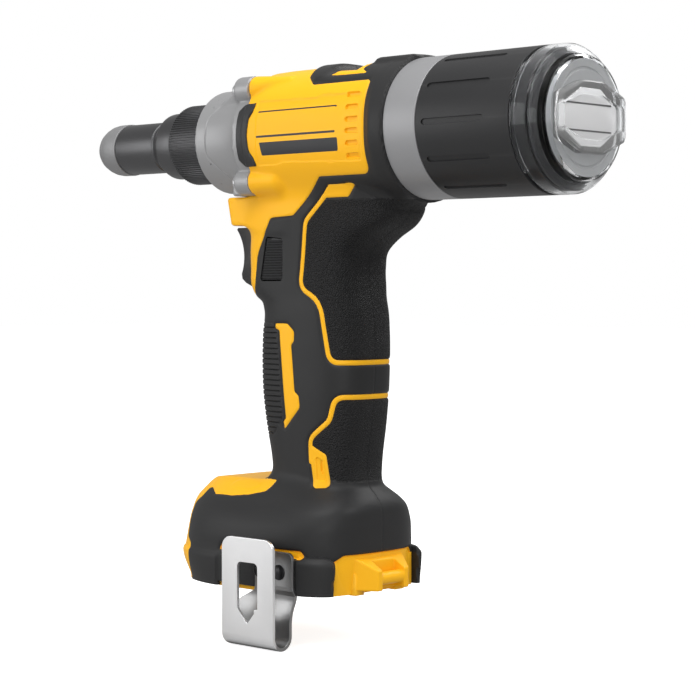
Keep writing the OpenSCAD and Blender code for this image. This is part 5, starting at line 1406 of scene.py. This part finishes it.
piece("lanyard_block", *skin(lanyard_form, low=(-201, -19, -209), high=(-186, 19, -189), pitch=0.45), YELLOW,
      "rail_frame", replaces=False, angle=40)
trimmed_frame()
for node, width in (("trigger", 1.0), ("case_screws", 0.2), ("housing_screws", 0.2), ("hook_screw", 0.25),
                    ("terminal_block", 0.3)):
    softened(node, width)
jaw_coil()


# Stage, light and camera

WHITE = (1, 1, 1, 1)
FLOOR_Z, FLOOR_REACH = -0.2332, 6
MIDDLE = (-0.16, 0, -0.09)
PHOTO_SIZE, FOCAL_PIXELS, SENSOR = 695, 1992, 36
EYE = (-0.7988, 0.6716, -0.0705)
EYE_RIGHT, EYE_UP = (-0.7300, -0.6834, 0), (0.0204, -0.0218, 0.9996)


def make_floor():
    """A pale floor that keeps its shadow; it looks brighter to the camera than it lights the tool."""
    corners = [(-1, -1), (1, -1), (1, 1), (-1, 1)]
    mesh = mesh_of("floor", [(x * FLOOR_REACH, y * FLOOR_REACH, FLOOR_Z) for x, y in corners], [range(4)], 1)
    floor = shown("floor", mesh)
    pale = bpy.data.materials.new("pale_floor")
    pale.use_nodes = True
    tree = pale.node_tree
    tree.nodes.clear()
    ray = add(tree, "ShaderNodeLightPath").outputs
    glow = add(tree, "ShaderNodeEmission", {"Color": WHITE, "Strength": 0.8}).outputs[0]
    matt = add(tree, "ShaderNodeBsdfDiffuse", {"Color": (0.7, 0.7, 0.7, 1)}).outputs[0]
    both = add(tree, "ShaderNodeAddShader", {0: glow, 1: matt}).outputs[0]
    dull = add(tree, "ShaderNodeBsdfDiffuse", {"Color": (0.42, 0.42, 0.42, 1)}).outputs[0]
    mixed = add(tree, "ShaderNodeMixShader", {0: ray["Is Camera Ray"], 1: dull, 2: both}).outputs[0]
    add(tree, "ShaderNodeOutputMaterial", {"Surface": mixed})
    mesh.materials.append(pale)


def make_world():
    """Soft light all round, white where the camera sees it."""
    world = bpy.data.worlds.new("studio")
    scene.world = world
    world.use_nodes = True
    tree = world.node_tree
    tree.nodes.clear()
    ray = add(tree, "ShaderNodeLightPath").outputs
    seen = maths(tree, "MAXIMUM", ray["Is Camera Ray"], ray["Is Transmission Ray"])
    plain, white = (add(tree, "ShaderNodeBackground", {"Color": WHITE, "Strength": strength}).outputs[0]
                    for strength in (0.45, 1.0))
    mixed = add(tree, "ShaderNodeMixShader", {0: seen, 1: plain, 2: white}).outputs[0]
    add(tree, "ShaderNodeOutputWorld", {"Surface": mixed})


def lamp(name, place, size, power):
    """A soft lamp aimed at the middle of the tool."""
    data = bpy.data.lights.new(name, "AREA")
    data.shape = "RECTANGLE"
    data.size, data.size_y = size
    data.energy = power
    obj = shown(name, data)
    obj.location = place
    obj.rotation_euler = (Vector(MIDDLE) - Vector(place)).to_track_quat("-Z", "Y").to_euler()


def make_camera():
    data = bpy.data.cameras.new("camera")
    data.sensor_width = SENSOR
    data.lens = SENSOR * FOCAL_PIXELS / PHOTO_SIZE
    data.clip_start, data.clip_end = 0.05, 20
    camera = shown("camera", data)
    right, up = Vector(EYE_RIGHT).normalized(), Vector(EYE_UP).normalized()
    back = right.cross(up).normalized()
    turn = Matrix((right, back.cross(right), back)).transposed().to_4x4()
    camera.matrix_world = Matrix.Translation(EYE) @ turn
    scene.camera = camera


make_floor()
make_world()
lamp("key", (-0.3, 0.9, 1.0), (0.9, 0.6), 9)
lamp("top", (-0.2, 0.1, 1.3), (0.9, 0.7), 7)
lamp("rear_fill", (-1.1, -0.1, 0.75), (0.5, 0.7), 5.5)
lamp("front_fill", (0.6, 0.9, 0.12), (0.7, 0.6), 3.2)
lamp("far_fill", (-0.4, -0.95, 0.8), (0.6, 0.5), 4)
lamp("side_fill", (-0.75, 0.8, 0.05), (0.7, 0.3), 2)
make_camera()
scene.view_settings.view_transform = "Standard"
